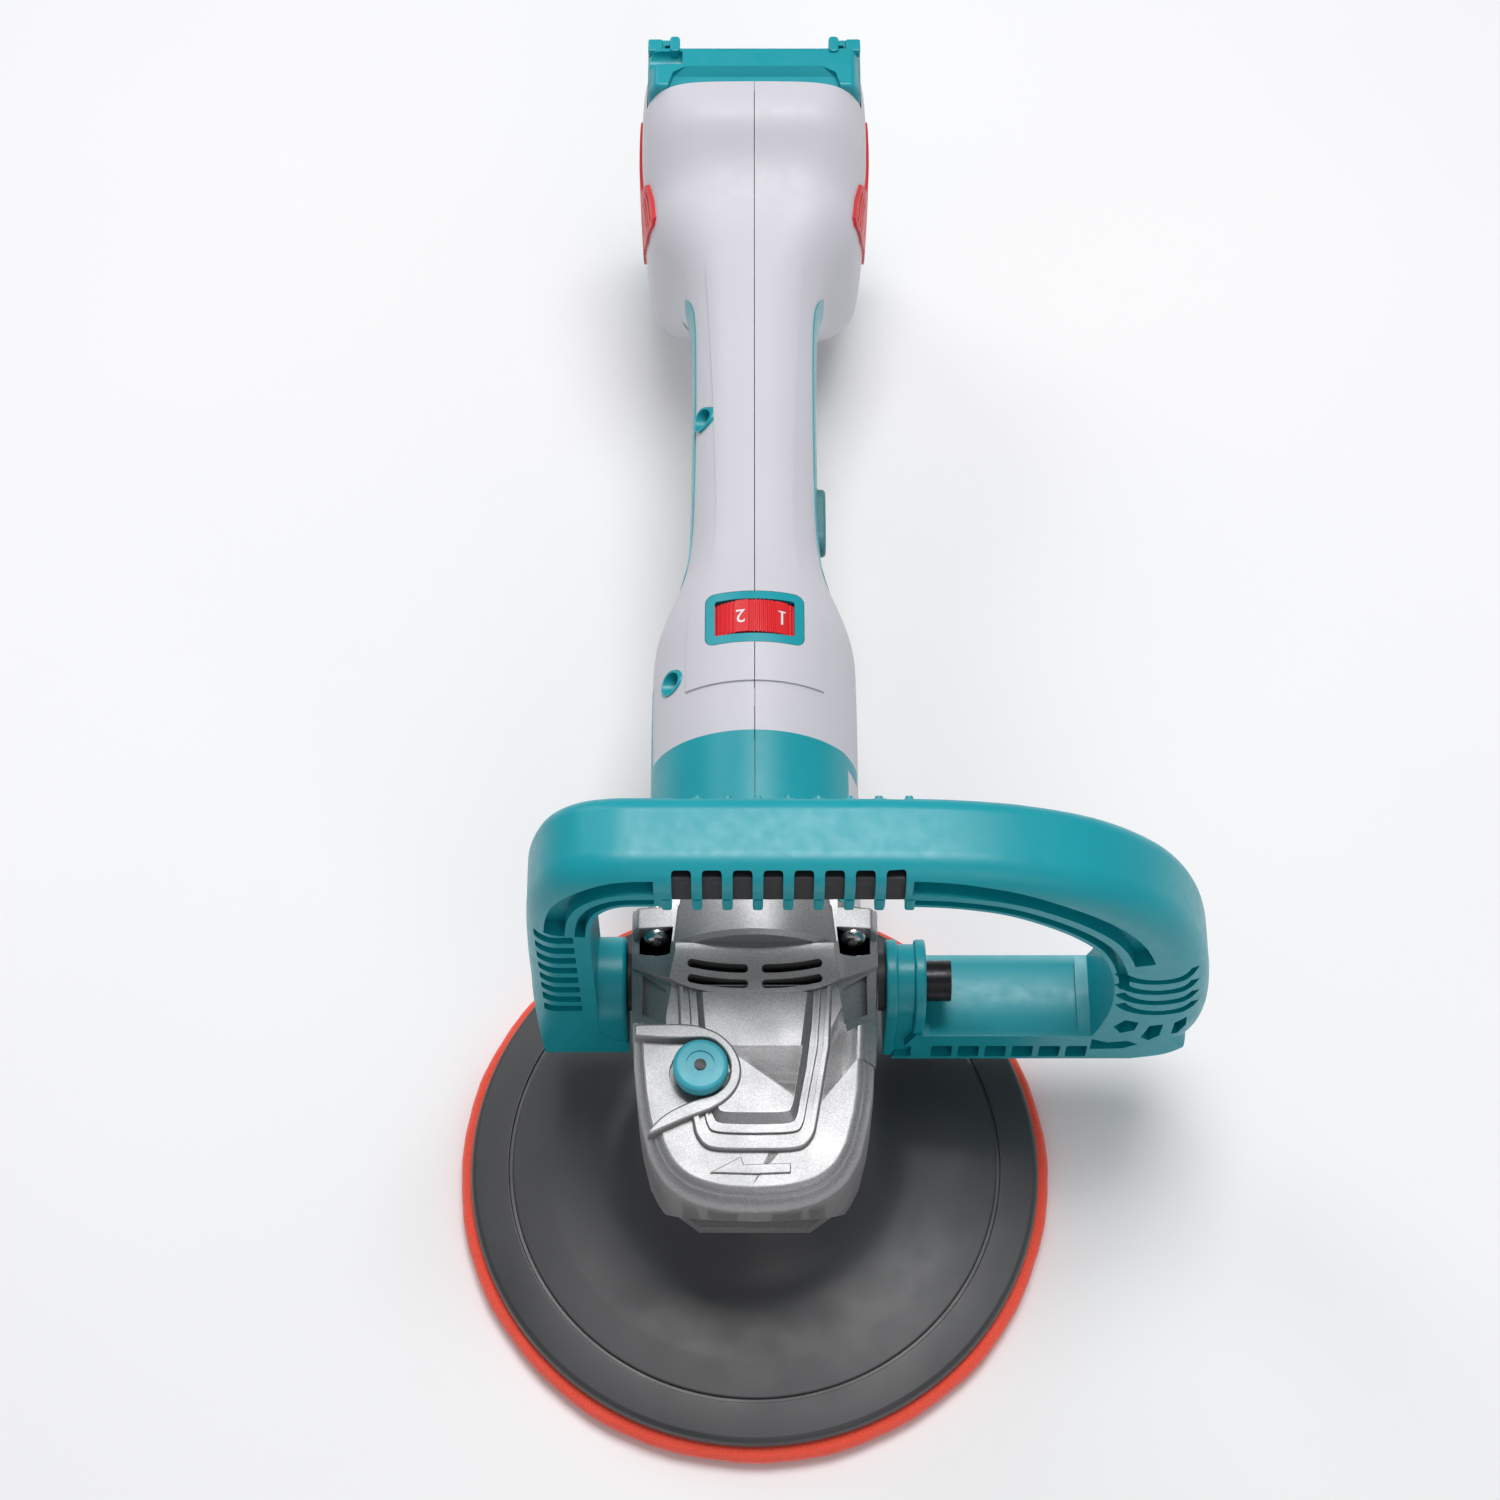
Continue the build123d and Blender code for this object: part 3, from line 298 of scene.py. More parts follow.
def open_edges(piece: bpy.types.Object) -> int:
    """Counts the edges that don't join exactly two faces."""
    mesh = bmesh.new()
    mesh.from_mesh(piece.data)
    count = sum(not edge.is_manifold for edge in mesh.edges)
    mesh.free()
    return count


def combine(piece: bpy.types.Object, tool: bpy.types.Object, how: str = "DIFFERENCE") -> bpy.types.Object:
    """Boolean of a piece with a tool, which is used up.

    Args:
        piece: The object that is changed.
        tool: The object that cuts it, joins it or bounds it.
        how: DIFFERENCE, UNION or INTERSECT.

    Returns:
        The changed object.
    """
    before, gaps = piece.data.copy(), open_edges(piece)
    apply_modifier(piece, "BOOLEAN", operation=how, object=tool, solver="EXACT")
    if not piece.data.polygons or open_edges(piece) > gaps:
        piece.data = before
        apply_modifier(piece, "BOOLEAN", operation=how, object=tool, solver="MANIFOLD")
    bpy.data.objects.remove(tool)
    return piece


def cut_all(pieces: Sequence[bpy.types.Object], tool: bpy.types.Object) -> None:
    """Cuts several overlapping solids with one tool, which is used up."""
    for piece in pieces:
        combine(piece, copy_of(tool, tool.name))
    bpy.data.objects.remove(tool)


def bevel(piece: bpy.types.Object, width: float, segments: int = 3, angle: float = 30.0) -> bpy.types.Object:
    """Rounds the edges of a piece that turn by more than an angle."""
    return apply_modifier(
        piece,
        "BEVEL",
        width=width * MM,
        segments=segments,
        limit_method="ANGLE",
        angle_limit=math.radians(angle),
        harden_normals=False,
        use_clamp_overlap=True,
    )


def smooth(piece: bpy.types.Object, angle: float = 32.0) -> bpy.types.Object:
    """Shades a piece smooth, with edges sharper than the angle left sharp."""
    take(piece)
    bpy.ops.object.shade_smooth_by_angle(angle=math.radians(angle))
    return piece


def join(name: str, pieces: Sequence[bpy.types.Object]) -> bpy.types.Object:
    """Joins several closed solids into one object."""
    take(pieces[0])
    for other in pieces[1:]:
        other.select_set(True)
    bpy.ops.object.join()
    return new_piece(name)


def copy_of(piece: bpy.types.Object, name: str) -> bpy.types.Object:
    """Copies a piece with its own mesh."""
    take(piece)
    bpy.ops.object.duplicate(linked=False)
    return new_piece(name)


def halve(piece: bpy.types.Object, x: float, keep_low: bool) -> bpy.types.Object:
    """Cuts a closed piece at a plane square to X and closes the cut.

    Args:
        piece: The object.
        x: Place of the plane, in millimetres.
        keep_low: Keeps the side below the plane.

    Returns:
        The same object.
    """
    with editing(piece):
        bpy.ops.mesh.select_all(action="SELECT")
        bpy.ops.mesh.bisect(
            plane_co=(x * MM, 0, 0), plane_no=(1, 0, 0), use_fill=True, clear_outer=keep_low,
            clear_inner=not keep_low
        )
    return piece


def rounded(
    width: float, height: float, radius: float, steps: int = 6, centre: Point = (0, 0)
) -> list[Point]:
    """Outline of a rounded rectangle.

    Args:
        width: Full width.
        height: Full height.
        radius: Corner radius.
        steps: Segments in each corner.
        centre: Middle of the rectangle.

    Returns:
        Its points, in order round the outline.
    """
    points = []
    corners = ((1, 1, 0), (-1, 1, 90), (-1, -1, 180), (1, -1, 270))
    for sx, sy, start in corners:
        cx = centre[0] + sx * (width / 2 - radius)
        cy = centre[1] + sy * (height / 2 - radius)
        for i in range(steps + 1):
            angle = math.radians(start + 90 * i / steps)
            points.append((cx + radius * math.cos(angle), cy + radius * math.sin(angle)))
    return points


def arc(centre: Point, radius: float, start: float, end: float, steps: int) -> list[Point]:
    """Points of an arc, with its angles in degrees."""
    angles = [math.radians(start + (end - start) * i / steps) for i in range(steps + 1)]
    return [(centre[0] + radius * math.cos(a), centre[1] + radius * math.sin(a)) for a in angles]


def curve_through(points: Sequence[Point], steps: int = 8) -> list[Point]:
    """Smooth curve through a few points (Catmull-Rom).

    Args:
        points: The points it passes through.
        steps: Segments between two points.

    Returns:
        The curve's points, ends included.
    """
    ends = [points[0], *points, points[-1]]
    curve = []
    for a, b, c, d in zip(ends, ends[1:], ends[2:], ends[3:]):
        for i in range(steps):
            t = i / steps
            curve.append(tuple(
                0.5 * (
                    2 * q + (r - p) * t + (2 * p - 5 * q + 4 * r - s) * t * t + (3 * q - p - 3 * r + s) * t**3
                )
                for p, q, r, s in zip(a, b, c, d)
            ))
    return [*curve, tuple(points[-1])]


def offset_line(line: Sequence[Point], distance: float) -> list[Point]:
    """Line moved sideways, to its left, by a distance."""
    moved = []
    for i, (x, y) in enumerate(line):
        before, after = line[max(i - 1, 0)], line[min(i + 1, len(line) - 1)]
        dx, dy = after[0] - before[0], after[1] - before[1]
        length = math.hypot(dx, dy) or 1.0
        moved.append((x - dy / length * distance, y + dx / length * distance))
    return moved


def strip(line: Sequence[Point], near: float, far: float) -> list[Point]:
    """Closed outline of the strip between two offsets of a line."""
    return offset_line(line, near) + offset_line(line, far)[::-1]


# ---------------------------------------------------------------- finishes


class Nodes:
    """A material's node tree, with short ways to add to it."""

    def __init__(self, name: str) -> None:
        """Starts a material with one Principled shader."""
        self.material = bpy.data.materials.new(name)
        self.material.use_nodes = True
        self.tree = self.material.node_tree
        self.shader = next(n for n in self.tree.nodes if n.type == "BSDF_PRINCIPLED")
        self.place = self.add("ShaderNodeTexCoord").outputs["Object"]

    def add(self, kind: str, **settings: object) -> bpy.types.Node:
        """Adds a node, with its properties."""
        node = self.tree.nodes.new(kind)
        for key, value in settings.items():
            setattr(node, key, value)
        return node

    def link(self, source: bpy.types.NodeSocket, target: bpy.types.NodeSocket) -> None:
        """Links two sockets."""
        self.tree.links.new(source, target)

    def noise(
        self, scale: float, detail: float = 3.0, stretch: Sequence[float] = (1, 1, 1)
    ) -> bpy.types.NodeSocket:
        """Noise over the object's own place, scale in features per metre."""
        mapping = self.add("ShaderNodeMapping")
        mapping.inputs["Scale"].default_value = stretch
        self.link(self.place, mapping.inputs["Vector"])
        node = self.add("ShaderNodeTexNoise")
        node.inputs["Scale"].default_value = scale
        node.inputs["Detail"].default_value = detail
        self.link(mapping.outputs["Vector"], node.inputs["Vector"])
        return node.outputs["Fac"]

    def cells(self, scale: float, output: str = "Distance") -> bpy.types.NodeSocket:
        """Voronoi cells over the object's own place."""
        node = self.add("ShaderNodeTexVoronoi")
        node.inputs["Scale"].default_value = scale
        self.link(self.place, node.inputs["Vector"])
        return node.outputs[output]

    def spread(
        self, source: bpy.types.NodeSocket, low: float, high: float, start: float = 0.3, end: float = 0.7
    ) -> bpy.types.NodeSocket:
        """Maps a value's usual range to another range."""
        node = self.add("ShaderNodeMapRange")
        node.inputs["From Min"].default_value = start
        node.inputs["From Max"].default_value = end
        node.inputs["To Min"].default_value = low
        node.inputs["To Max"].default_value = high
        self.link(source, node.inputs["Value"])
        return node.outputs["Result"]

    def between(self, factor: bpy.types.NodeSocket, one: Colour, other: Colour) -> bpy.types.NodeSocket:
        """Colour that goes from one to another with a factor."""
        node = self.add("ShaderNodeMix", data_type="RGBA")
        colour_sockets = [s for s in node.inputs if s.type == "RGBA"]
        colour_sockets[0].default_value = (*one, 1)
        colour_sockets[1].default_value = (*other, 1)
        self.link(factor, node.inputs["Factor"])
        return next(s for s in node.outputs if s.type == "RGBA")

    def bump(self, heights: Sequence[tuple[bpy.types.NodeSocket, float, float]]) -> None:
        """Chains bump layers into the shader's normal.

        Args:
            heights: Layers as (height, strength, distance in millimetres).
        """
        normal = None
        for height, strength, distance in heights:
            node = self.add("ShaderNodeBump")
            node.inputs["Strength"].default_value = strength
            node.inputs["Distance"].default_value = distance * MM
            self.link(height, node.inputs["Height"])
            if normal is not None:
                self.link(normal, node.inputs["Normal"])
            normal = node.outputs["Normal"]
        if normal is not None:
            self.link(normal, self.shader.inputs["Normal"])

    def set(self, **values: float) -> None:
        """Sets the shader's own sockets, named with underscores for blanks."""
        for key, value in values.items():
            self.shader.inputs[key.replace("_", " ")].default_value = value

    def colour(self, source: bpy.types.NodeSocket) -> None:
        """Feeds the base colour."""
        self.link(source, self.shader.inputs["Base Color"])

    def roughness(self, source: bpy.types.NodeSocket) -> None:
        """Feeds the roughness."""
        self.link(source, self.shader.inputs["Roughness"])


def shade(colour: Colour, factor: float) -> Colour:
    """Darker or lighter version of a colour."""
    return tuple(min(1.0, c * factor) for c in colour)


@dataclass(frozen=True)
class MouldedPlastic:
    """Injection-moulded plastic with a fine spark-eroded grain and faint flow mottling."""

    name: str
    colour: Colour
    gloss: float = 0.42
    grain: float = 0.05
    mottle: float = 0.05

    def make(self) -> bpy.types.Material:
        """Builds the material."""
        nodes = Nodes(self.name)
        flow = nodes.noise(26, 2)
        fine = nodes.noise(1900, 2)
        nodes.colour(nodes.between(
            nodes.spread(flow, 0, 1), shade(self.colour, 1 - self.mottle), shade(self.colour, 1 + self.mottle)
        ))
        nodes.roughness(nodes.spread(nodes.noise(240, 4), self.gloss - 0.05, self.gloss + 0.07))
        nodes.bump([(flow, 0.05, 0.4), (fine, 0.35, self.grain)])
        nodes.set(Specular_IOR_Level=0.5)
        return nodes.material


@dataclass(frozen=True)
class DieCast:
    """Aluminium casting under sparkling metallic paint."""

    name: str
    light: Colour
    dark: Colour
    gloss: float = 0.36

    def make(self) -> bpy.types.Material:
        """Builds the material."""
        nodes = Nodes(self.name)
        flake = nodes.cells(4200, "Color")
        tone = nodes.add("ShaderNodeSeparateColor")
        nodes.link(flake, tone.inputs["Color"])
        nodes.colour(nodes.between(tone.outputs["Red"], self.dark, self.light))
        nodes.roughness(nodes.spread(nodes.noise(60, 4), self.gloss - 0.04, self.gloss + 0.08))
        nodes.bump([(nodes.noise(180, 3), 0.1, 0.2), (tone.outputs["Green"], 0.1, 0.01)])
        nodes.set(Metallic=0.8, Coat_Weight=0.2, Coat_Roughness=0.3)
        return nodes.material


@dataclass(frozen=True)
class SatinPolyurethane:
    """Cast black polyurethane of the backing plate, with smudges and fine turned lines."""

    name: str
    colour: Colour

    def make(self) -> bpy.types.Material:
        """Builds the material."""
        nodes = Nodes(self.name)
        smudge = nodes.noise(14, 5)
        nodes.colour(nodes.between(
            nodes.spread(smudge, 0, 1), shade(self.colour, 0.86), shade(self.colour, 1.18)
        ))
        nodes.roughness(nodes.spread(nodes.noise(38, 6), 0.30, 0.46))
        nodes.bump([(smudge, 0.06, 0.5), (nodes.noise(900, 3), 0.22, 0.05)])
        nodes.set(Specular_IOR_Level=0.5, Sheen_Weight=0.05)
        return nodes.material


@dataclass(frozen=True)
class Foam:
    """Dense closed-cell foam, pored all over, with painted shade darkening each pore."""

    name: str
    colour: Colour

    def make(self) -> bpy.types.Material:
        """Builds the material."""
        nodes = Nodes(self.name)
        pores = nodes.cells(1500)
        # Painted shade: the colour darkens towards each pore's centre, where the bump below sinks the pit.
        nodes.colour(nodes.between(
            nodes.spread(pores, 0, 1, 0.0, 0.6), shade(self.colour, 0.80), shade(self.colour, 1.05)
        ))
        nodes.roughness(nodes.spread(nodes.noise(90, 3), 0.75, 0.95))
        nodes.bump([(nodes.noise(70, 4), 0.25, 0.5), (pores, 0.7, 0.16)])
        nodes.set(Sheen_Weight=0.25, Sheen_Roughness=0.5)
        return nodes.material


@dataclass(frozen=True)
class HookFabric:
    """Hook sheet: rows of tiny stiff hooks on a woven ground."""

    name: str
    colour: Colour

    def make(self) -> bpy.types.Material:
        """Builds the material."""
        nodes = Nodes(self.name)
        hooks = nodes.cells(900)
        nodes.colour(nodes.between(
            nodes.spread(hooks, 0, 1, 0.05, 0.5), shade(self.colour, 1.25), shade(self.colour, 0.45)
        ))
        nodes.roughness(nodes.spread(nodes.noise(200, 3), 0.7, 0.95))
        nodes.bump([(nodes.noise(500, 3), 0.4, 0.2), (hooks, 0.9, 0.4)])
        nodes.set(Sheen_Weight=0.4)
        return nodes.material


@dataclass(frozen=True)
class Rubber:
    """Soft overmoulded rubber with a dry, matt skin."""

    name: str
    colour: Colour
    gloss: float = 0.62

    def make(self) -> bpy.types.Material:
        """Builds the material."""
        nodes = Nodes(self.name)
        cloud = nodes.noise(50, 4)
        nodes.colour(
            nodes.between(nodes.spread(cloud, 0, 1), shade(self.colour, 0.9), shade(self.colour, 1.1))
        )
        nodes.roughness(nodes.spread(nodes.noise(300, 3), self.gloss - 0.06, self.gloss + 0.1))
        nodes.bump([(nodes.noise(1300, 3), 0.4, 0.06)])
        nodes.set(Sheen_Weight=0.15, Sheen_Roughness=0.4)
        return nodes.material


@dataclass(frozen=True)
class Metal:
    """Machined, drawn or plated metal with fine tool lines."""

    name: str
    colour: Colour
    gloss: float = 0.25
    lines: tuple[float, float, float] = (1, 1, 1)

    def make(self) -> bpy.types.Material:
        """Builds the material."""
        nodes = Nodes(self.name)
        tool = nodes.noise(700, 2, self.lines)
        cloud = nodes.noise(60, 4)
        nodes.colour(
            nodes.between(nodes.spread(cloud, 0, 1), shade(self.colour, 0.85), shade(self.colour, 1.1))
        )
        nodes.roughness(nodes.spread(tool, self.gloss - 0.07, self.gloss + 0.12))
        nodes.bump([(tool, 0.2, 0.04)])
        nodes.set(Metallic=1.0)
        return nodes.material


class Palette:
    """Every finish of the polisher, made once."""

    def __init__(self) -> None:
        """Makes the materials, keyed by the record's slot names."""
        teal = (0.0, 0.315, 0.375)
        finishes = {
            "white_plastic": MouldedPlastic("lilac_white_plastic", (0.60, 0.59, 0.645), 0.46, 0.06, 0.012),
            "teal_plastic": MouldedPlastic("teal_plastic", teal, 0.36, 0.04, 0.04),
            "teal_rubber": Rubber("teal_rubber", (0.0, 0.30, 0.36), 0.36),
            "red_rubber": Rubber("red_rubber", (0.62, 0.015, 0.02), 0.5),
            "red_plastic": MouldedPlastic("red_plastic", (0.72, 0.014, 0.02), 0.35, 0.04, 0.03),
            "black_plastic": MouldedPlastic("black_plastic", (0.022, 0.022, 0.024), 0.5, 0.08),
            "grey_plastic": MouldedPlastic("grey_green_plastic", (0.06, 0.20, 0.22), 0.45, 0.06),
            "button_plastic": MouldedPlastic("light_teal_plastic", (0.045, 0.43, 0.53), 0.34, 0.03, 0.02),
            "fan_plastic": MouldedPlastic("glass_filled_plastic", (0.05, 0.05, 0.055), 0.55, 0.09),
            "lead_insulation": MouldedPlastic("lead_insulation", (0.45, 0.02, 0.02), 0.3, 0.02),
            "die_cast": DieCast("die_cast_paint", (0.40, 0.40, 0.405), (0.27, 0.27, 0.275), 0.42),
            "pad_black": SatinPolyurethane("satin_polyurethane", (0.040, 0.041, 0.044)),
            "orange_foam": Foam("orange_foam", (0.90, 0.085, 0.045)),
            "hook_fabric": HookFabric("hook_fabric", (0.75, 0.07, 0.04)),
            "bright_steel": Metal("bright_steel", (0.62, 0.62, 0.63), 0.22, (1, 1, 6)),
            "ball_steel": Metal("ball_steel", (0.75, 0.75, 0.77), 0.1),
            "gear_steel": Metal("gear_steel", (0.36, 0.35, 0.34), 0.3),
            "black_steel": Metal("black_oxide_steel", (0.035, 0.034, 0.036), 0.34),
            "spring_steel": Metal("spring_steel", (0.5, 0.5, 0.52), 0.2),
            "lamination": Metal("laminated_steel", (0.3, 0.3, 0.31), 0.35, (1, 9, 1)),
            "copper": Metal("enamelled_copper", (0.62, 0.22, 0.08), 0.25, (1, 6, 1)),
            "brass_blade": Metal("plated_brass", (0.75, 0.55, 0.22), 0.22),
            "ink_white": MouldedPlastic("white_ink", (0.85, 0.83, 0.83), 0.5, 0.02, 0.02),
        }
        self.materials = {slot: finish.make() for slot, finish in finishes.items()}

    def dress(self, piece: bpy.types.Object, slot: str) -> None:
        """Gives a piece one finish."""
        piece.data.materials.clear()
        piece.data.materials.append(self.materials[slot])


@dataclass
class Workshop:
    """What every sub-assembly needs: the loaded frame and the finishes."""

    frame: dict
    palette: Palette

    def fit(
        self, piece: bpy.types.Object, part: Part, slot: str, replaces: Sequence[str] = (),
        finish: str | None = None
    ) -> bpy.types.Object:
        """Evens out a finished piece's shading, dresses it and fixes it to its body.

        Args:
            piece: The piece, with its place in its mesh.
            part: The moving body it rides on.
            slot: The record's material slot.
            replaces: Mechanical nodes that it stands for.
            finish: Finish, where it isn't the slot's own.

        Returns:
            The same piece.
        """
        apply_modifier(piece, "WEIGHTED_NORMAL", weight=100, keep_sharp=True)
        clear_selection()
        self.palette.dress(piece, finish or slot)
        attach(piece, part.value)
        if replaces:
            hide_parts(*replaces)
        log.info("%s: %d faces, rides on %s", piece.name, len(piece.data.polygons), part.value)
        return piece


# ---------------------------------------------------------------- pad


@dataclass
class Pad:
    """Backing plate and foam layer of the 180 mm pad."""

    plate_radius: float = 90.0
    groove_radius: float = 77.0
    foam_radius: float = 93.4
    foam_low: float = 1.2
    joint: float = 8.0
    hub_top: float = 34.0

    def plate_profile(self) -> list[Point]:
        """Half section of the backing plate, from its bore round the rim and back."""
        g = self.groove_radius
        rim = [(11.05, self.joint), (self.plate_radius - 1.2, self.joint)]
        rim += curve_through(
            [(self.plate_radius - 1.2, self.joint), (self.plate_radius, 9.6), (89.5, 12.0)], 5
        )[1:]
        rim += [
            (88.9, 12.8), (87.9, 13.3), (g + 1.1, 14.55), (g + 0.7, 14.4), (g + 0.45, 13.6), (g - 0.45, 13.6)
        ]
        rim += [(g - 0.7, 14.6), (g - 1.1, 14.85), (66, 16.0)]
        web = curve_through(
            [(66, 16.0), (54, 17.2), (46, 18.5), (40, 21.0), (35, 24.8), (30.5, 29.2), (27, 32.4)], 6
        )
        top = [
            (25.4, 33.5), (24.0, 33.95), (22.5, self.hub_top), (17.4, self.hub_top), (17.0, 33.4),
            (11.05, 33.4)
        ]
        return [*rim, *web[1:], *top, (11.05, self.joint)]

    def build(self, shop: Workshop) -> None:
        """Models the backing plate and the foam."""
        up, side = Vector((0, 0, 1)), Vector((1, 0, 0))
        plate = lathe("backing_plate_turned", self.plate_profile(), Vector(), up, side, 192)
        shop.fit(smooth(plate, 40), Part.SPINDLE, "pad_black", ["backing_plate"])
        rim = [(self.foam_radius - 1.6, self.foam_low), (self.foam_radius - 0.5, 2.0), (self.foam_radius, 3.6),
               (self.foam_radius - 0.1, 5.6), (self.foam_radius - 1.4, 7.4),
               (self.plate_radius - 0.2, self.joint - 0.02)]
        profile = [(0, self.foam_low), *curve_through(rim, 4), (0, self.joint - 0.02)]
        foam = lathe("foam_layer_soft", profile, Vector(), up, side, 192)
        self.rough_up(foam)
        shop.fit(smooth(foam, 60), Part.SPINDLE, "orange_foam", ["foam_layer"])

    def rough_up(self, foam: bpy.types.Object) -> None:
        """Gives the foam's cut rim its slight unevenness."""
        for vertex in foam.data.vertices:
            radius = math.hypot(vertex.co.x, vertex.co.y)
            if radius < (self.foam_radius - 3) * MM:
                continue
            angle = math.atan2(vertex.co.y, vertex.co.x)
            wave = 0.16 * math.sin(9 * angle + 1.3) + 0.1 * math.sin(23 * angle) + 0.06 * math.sin(
                61 * angle + 0.4
            )
            scale = 1 + wave * MM / radius
            vertex.co.x *= scale
            vertex.co.y *= scale


# ---------------------------------------------------------------- gear head


def mirrored(right: Sequence[Point]) -> list[Point]:
    """Closed outline from its right half, which may start or end on the middle line."""
    return [*right, *((-x, y) for x, y in reversed(right) if x)]


@dataclass
class GearHead:
    """Die-cast gear case with its vents, ridges, arrow and lock button hollow."""

    bottom: float = 60.0
    motor_z: float = 81.0
    lock: Point = (-15.8, -3.8)
    plan: list[Point] = field(default_factory=lambda: [
        (36.6, 50), (36.6, 27), (36.2, 12), (35.5, 0), (34.6, -9), (33.4, -16.5), (31.0, -26.0),
    ])
    nose: list[Point] = field(default_factory=lambda: [
        (31.0, -26.0), (26.8, -33.4), (20.0, -38.8), (10.5, -41.7), (0.0, -42.5),
    ])
    rows: tuple[Point, ...] = (
        (0.0, 7.4), (0.35, 5.4), (1.1, 3.7), (2.2, 2.5), (2.7, 2.3), (3.0, 1.4), (3.7, 0.6), (4.8, 0.1),
        (5.6, 0.0),
    )

    def top_at(self, y: float) -> float:
        """Height of the sloping top face at a station y."""
        return 95.0 + (y + 33.5) * 6.0 / 51.5

    def sloped(
        self, name: str, outline: Sequence[Point], sink: float, rise: float,
        top: Sequence[Point] | None = None
    ) -> bpy.types.Object:
        """Solid on the sloping top face.

        Args:
            name: Name of the new object.
            outline: Plan points in millimetres.
            sink: How far it starts under the face.
            rise: How far it stands above the face.
            top: Plan points of its upper side, where they differ.

        Returns:
            The solid, with its top parallel to the face.
        """
        solid = draw_chain(name, [Vector((x, y, self.top_at(y) - sink)) * MM for x, y in outline])
        with editing(solid):
            bpy.ops.mesh.select_all(action="SELECT")
            bpy.ops.mesh.edge_face_add()
            bpy.ops.mesh.extrude_region_move(TRANSFORM_OT_translate={"value": (0, 0, (sink + rise) * MM)})
            mesh = bmesh.from_edit_mesh(solid.data)
            upper = sorted((v for v in mesh.verts if v.select), key=lambda v: v.index)
            for vertex, (x, y) in zip(upper, top or ()):
                vertex.co = Vector((x, y, self.top_at(y) + rise)) * MM
            bmesh.update_edit_mesh(solid.data)
        return face_out(solid)

    def block(self) -> bpy.types.Object:
        """Outer form of the case: rings of its plan, drawn in towards the top face, with sloped shoulders."""
        outline = mirrored([*self.plan, *curve_through(self.nose, 6)[1:]])
        case = draw_chain("gear_case_cast", [spot(x, y, self.bottom, Along.Z) for x, y in outline])
        with editing(case):
            bpy.ops.mesh.select_all(action="SELECT")
            bpy.ops.mesh.edge_face_add()
            for inset, drop in self.rows:
                bpy.ops.mesh.extrude_region_move(TRANSFORM_OT_translate={"value": (0, 0, MM)})
                mesh = bmesh.from_edit_mesh(case.data)
                upper = sorted((v for v in mesh.verts if v.select), key=lambda v: v.index)
                for vertex, (x, y) in zip(upper, offset_line(outline, -inset)):
                    vertex.co = Vector((x, y, self.top_at(y) - drop)) * MM
                bmesh.update_edit_mesh(case.data)
        face_out(case)
        side = [(-33.2, 59), (-42.2, 79.2), (-46, 79.8), (-46, 120), (60, 120), (60, 59)]
        combine(case, prism("side", side, -60, 60, Along.X), "INTERSECT")
        for hand in (1, -1):
            slope = [
                (hand * 24.6, 112), (hand * 24.6, 101.4), (hand * 38.5, 92.4), (hand * 48, 92.4),
                (hand * 48, 112)
            ]
            wedge = prism("slope", slope, 0, 60, Along.Y)
            reach = [(hand * 22, 6.0), (hand * 40, 15.2), (hand * 40, 58), (hand * 22, 58)]
            combine(case, combine(wedge, prism("reach", reach, 60, 120, Along.Z), "INTERSECT"))
        return bevel(case, 0.5, 3, 28)

    def shoulder_recess(self, hand: int) -> bpy.types.Object:
        """Cutter for the four-sided recess in one sloped shoulder."""
        corners = [(26.0, 22.0), (33.2, 28.2), (33.2, 15.6), (26.0, 10.6)]
        points = [Vector((hand * x, y, 101.4 - (x - 24.6) * 0.647 - 1.9)) * MM for x, y in corners]
        cutter = draw_chain("recess", points)
        with editing(cutter):
            bpy.ops.mesh.select_all(action="SELECT")
            bpy.ops.mesh.edge_face_add()
            bpy.ops.mesh.extrude_region_move(TRANSFORM_OT_translate={"value": (0, 0, 6 * MM)})
        return face_out(cutter)

    def hood(self) -> bpy.types.Object:
        """Raised rear hood that carries the vents."""
        profile = [
            (16, 90), (18.4, 102.0), (20.2, 103.6), (31.5, 106.5), (34.0, 106.6), (35.2, 105.2), (35.4, 90)
        ]
        hood = prism("hood", profile, -40, 40, Along.X)
        front = [(36.6, 84), (36.6, 95.8), (31.0, 99.8), (26.4, 103.0), (23.2, 106.8), (22.0, 112)]
        combine(hood, prism("hood_front", mirrored(front), 0, 60, Along.Y), "INTERSECT")
        lower = curve_through(
            [(0, 18.8), (10, 19.3), (19.0, 20.9), (24.5, 23.2), (30.5, 27.0), (36.6, 31.4)], 4
        )
        combine(
            hood, prism("hood_plan", mirrored([(0, 60), (36.6, 60), *lower[::-1]]), 80, 120, Along.Z),
            "INTERSECT"
        )
        return bevel(hood, 0.9, 4, 24)

    def vent_cutters(self) -> list[bpy.types.Object]:
        """Cutters for the four slots, each pair tipped outwards."""
        cutters = []
        for hand in (1, -1):
            for near in (22.6, 27.0):
                line = [(hand * (3.2 + 15.4 * t), near - 0.7 + 1.6 * t * t) for t in (0, 0.25, 0.5, 0.75, 1)]
                ends = [arc(line[0], 1.25, 90, 270, 6), arc(line[-1], 1.25, -90, 90, 6)]
                if hand < 0:
                    ends = [
                        [(2 * line[0][0] - x, y) for x, y in ends[0]],
                        [(2 * line[-1][0] - x, y) for x, y in ends[1]]
                    ]
                lower = [(x, y - 1.25) for x, y in line[1:-1]]
                upper = [(x, y + 1.25) for x, y in line[1:-1][::-1]]
                cutters.append(prism("vent", [*ends[0], *lower, *ends[1], *upper], 82, 112, Along.Z))
        return cutters

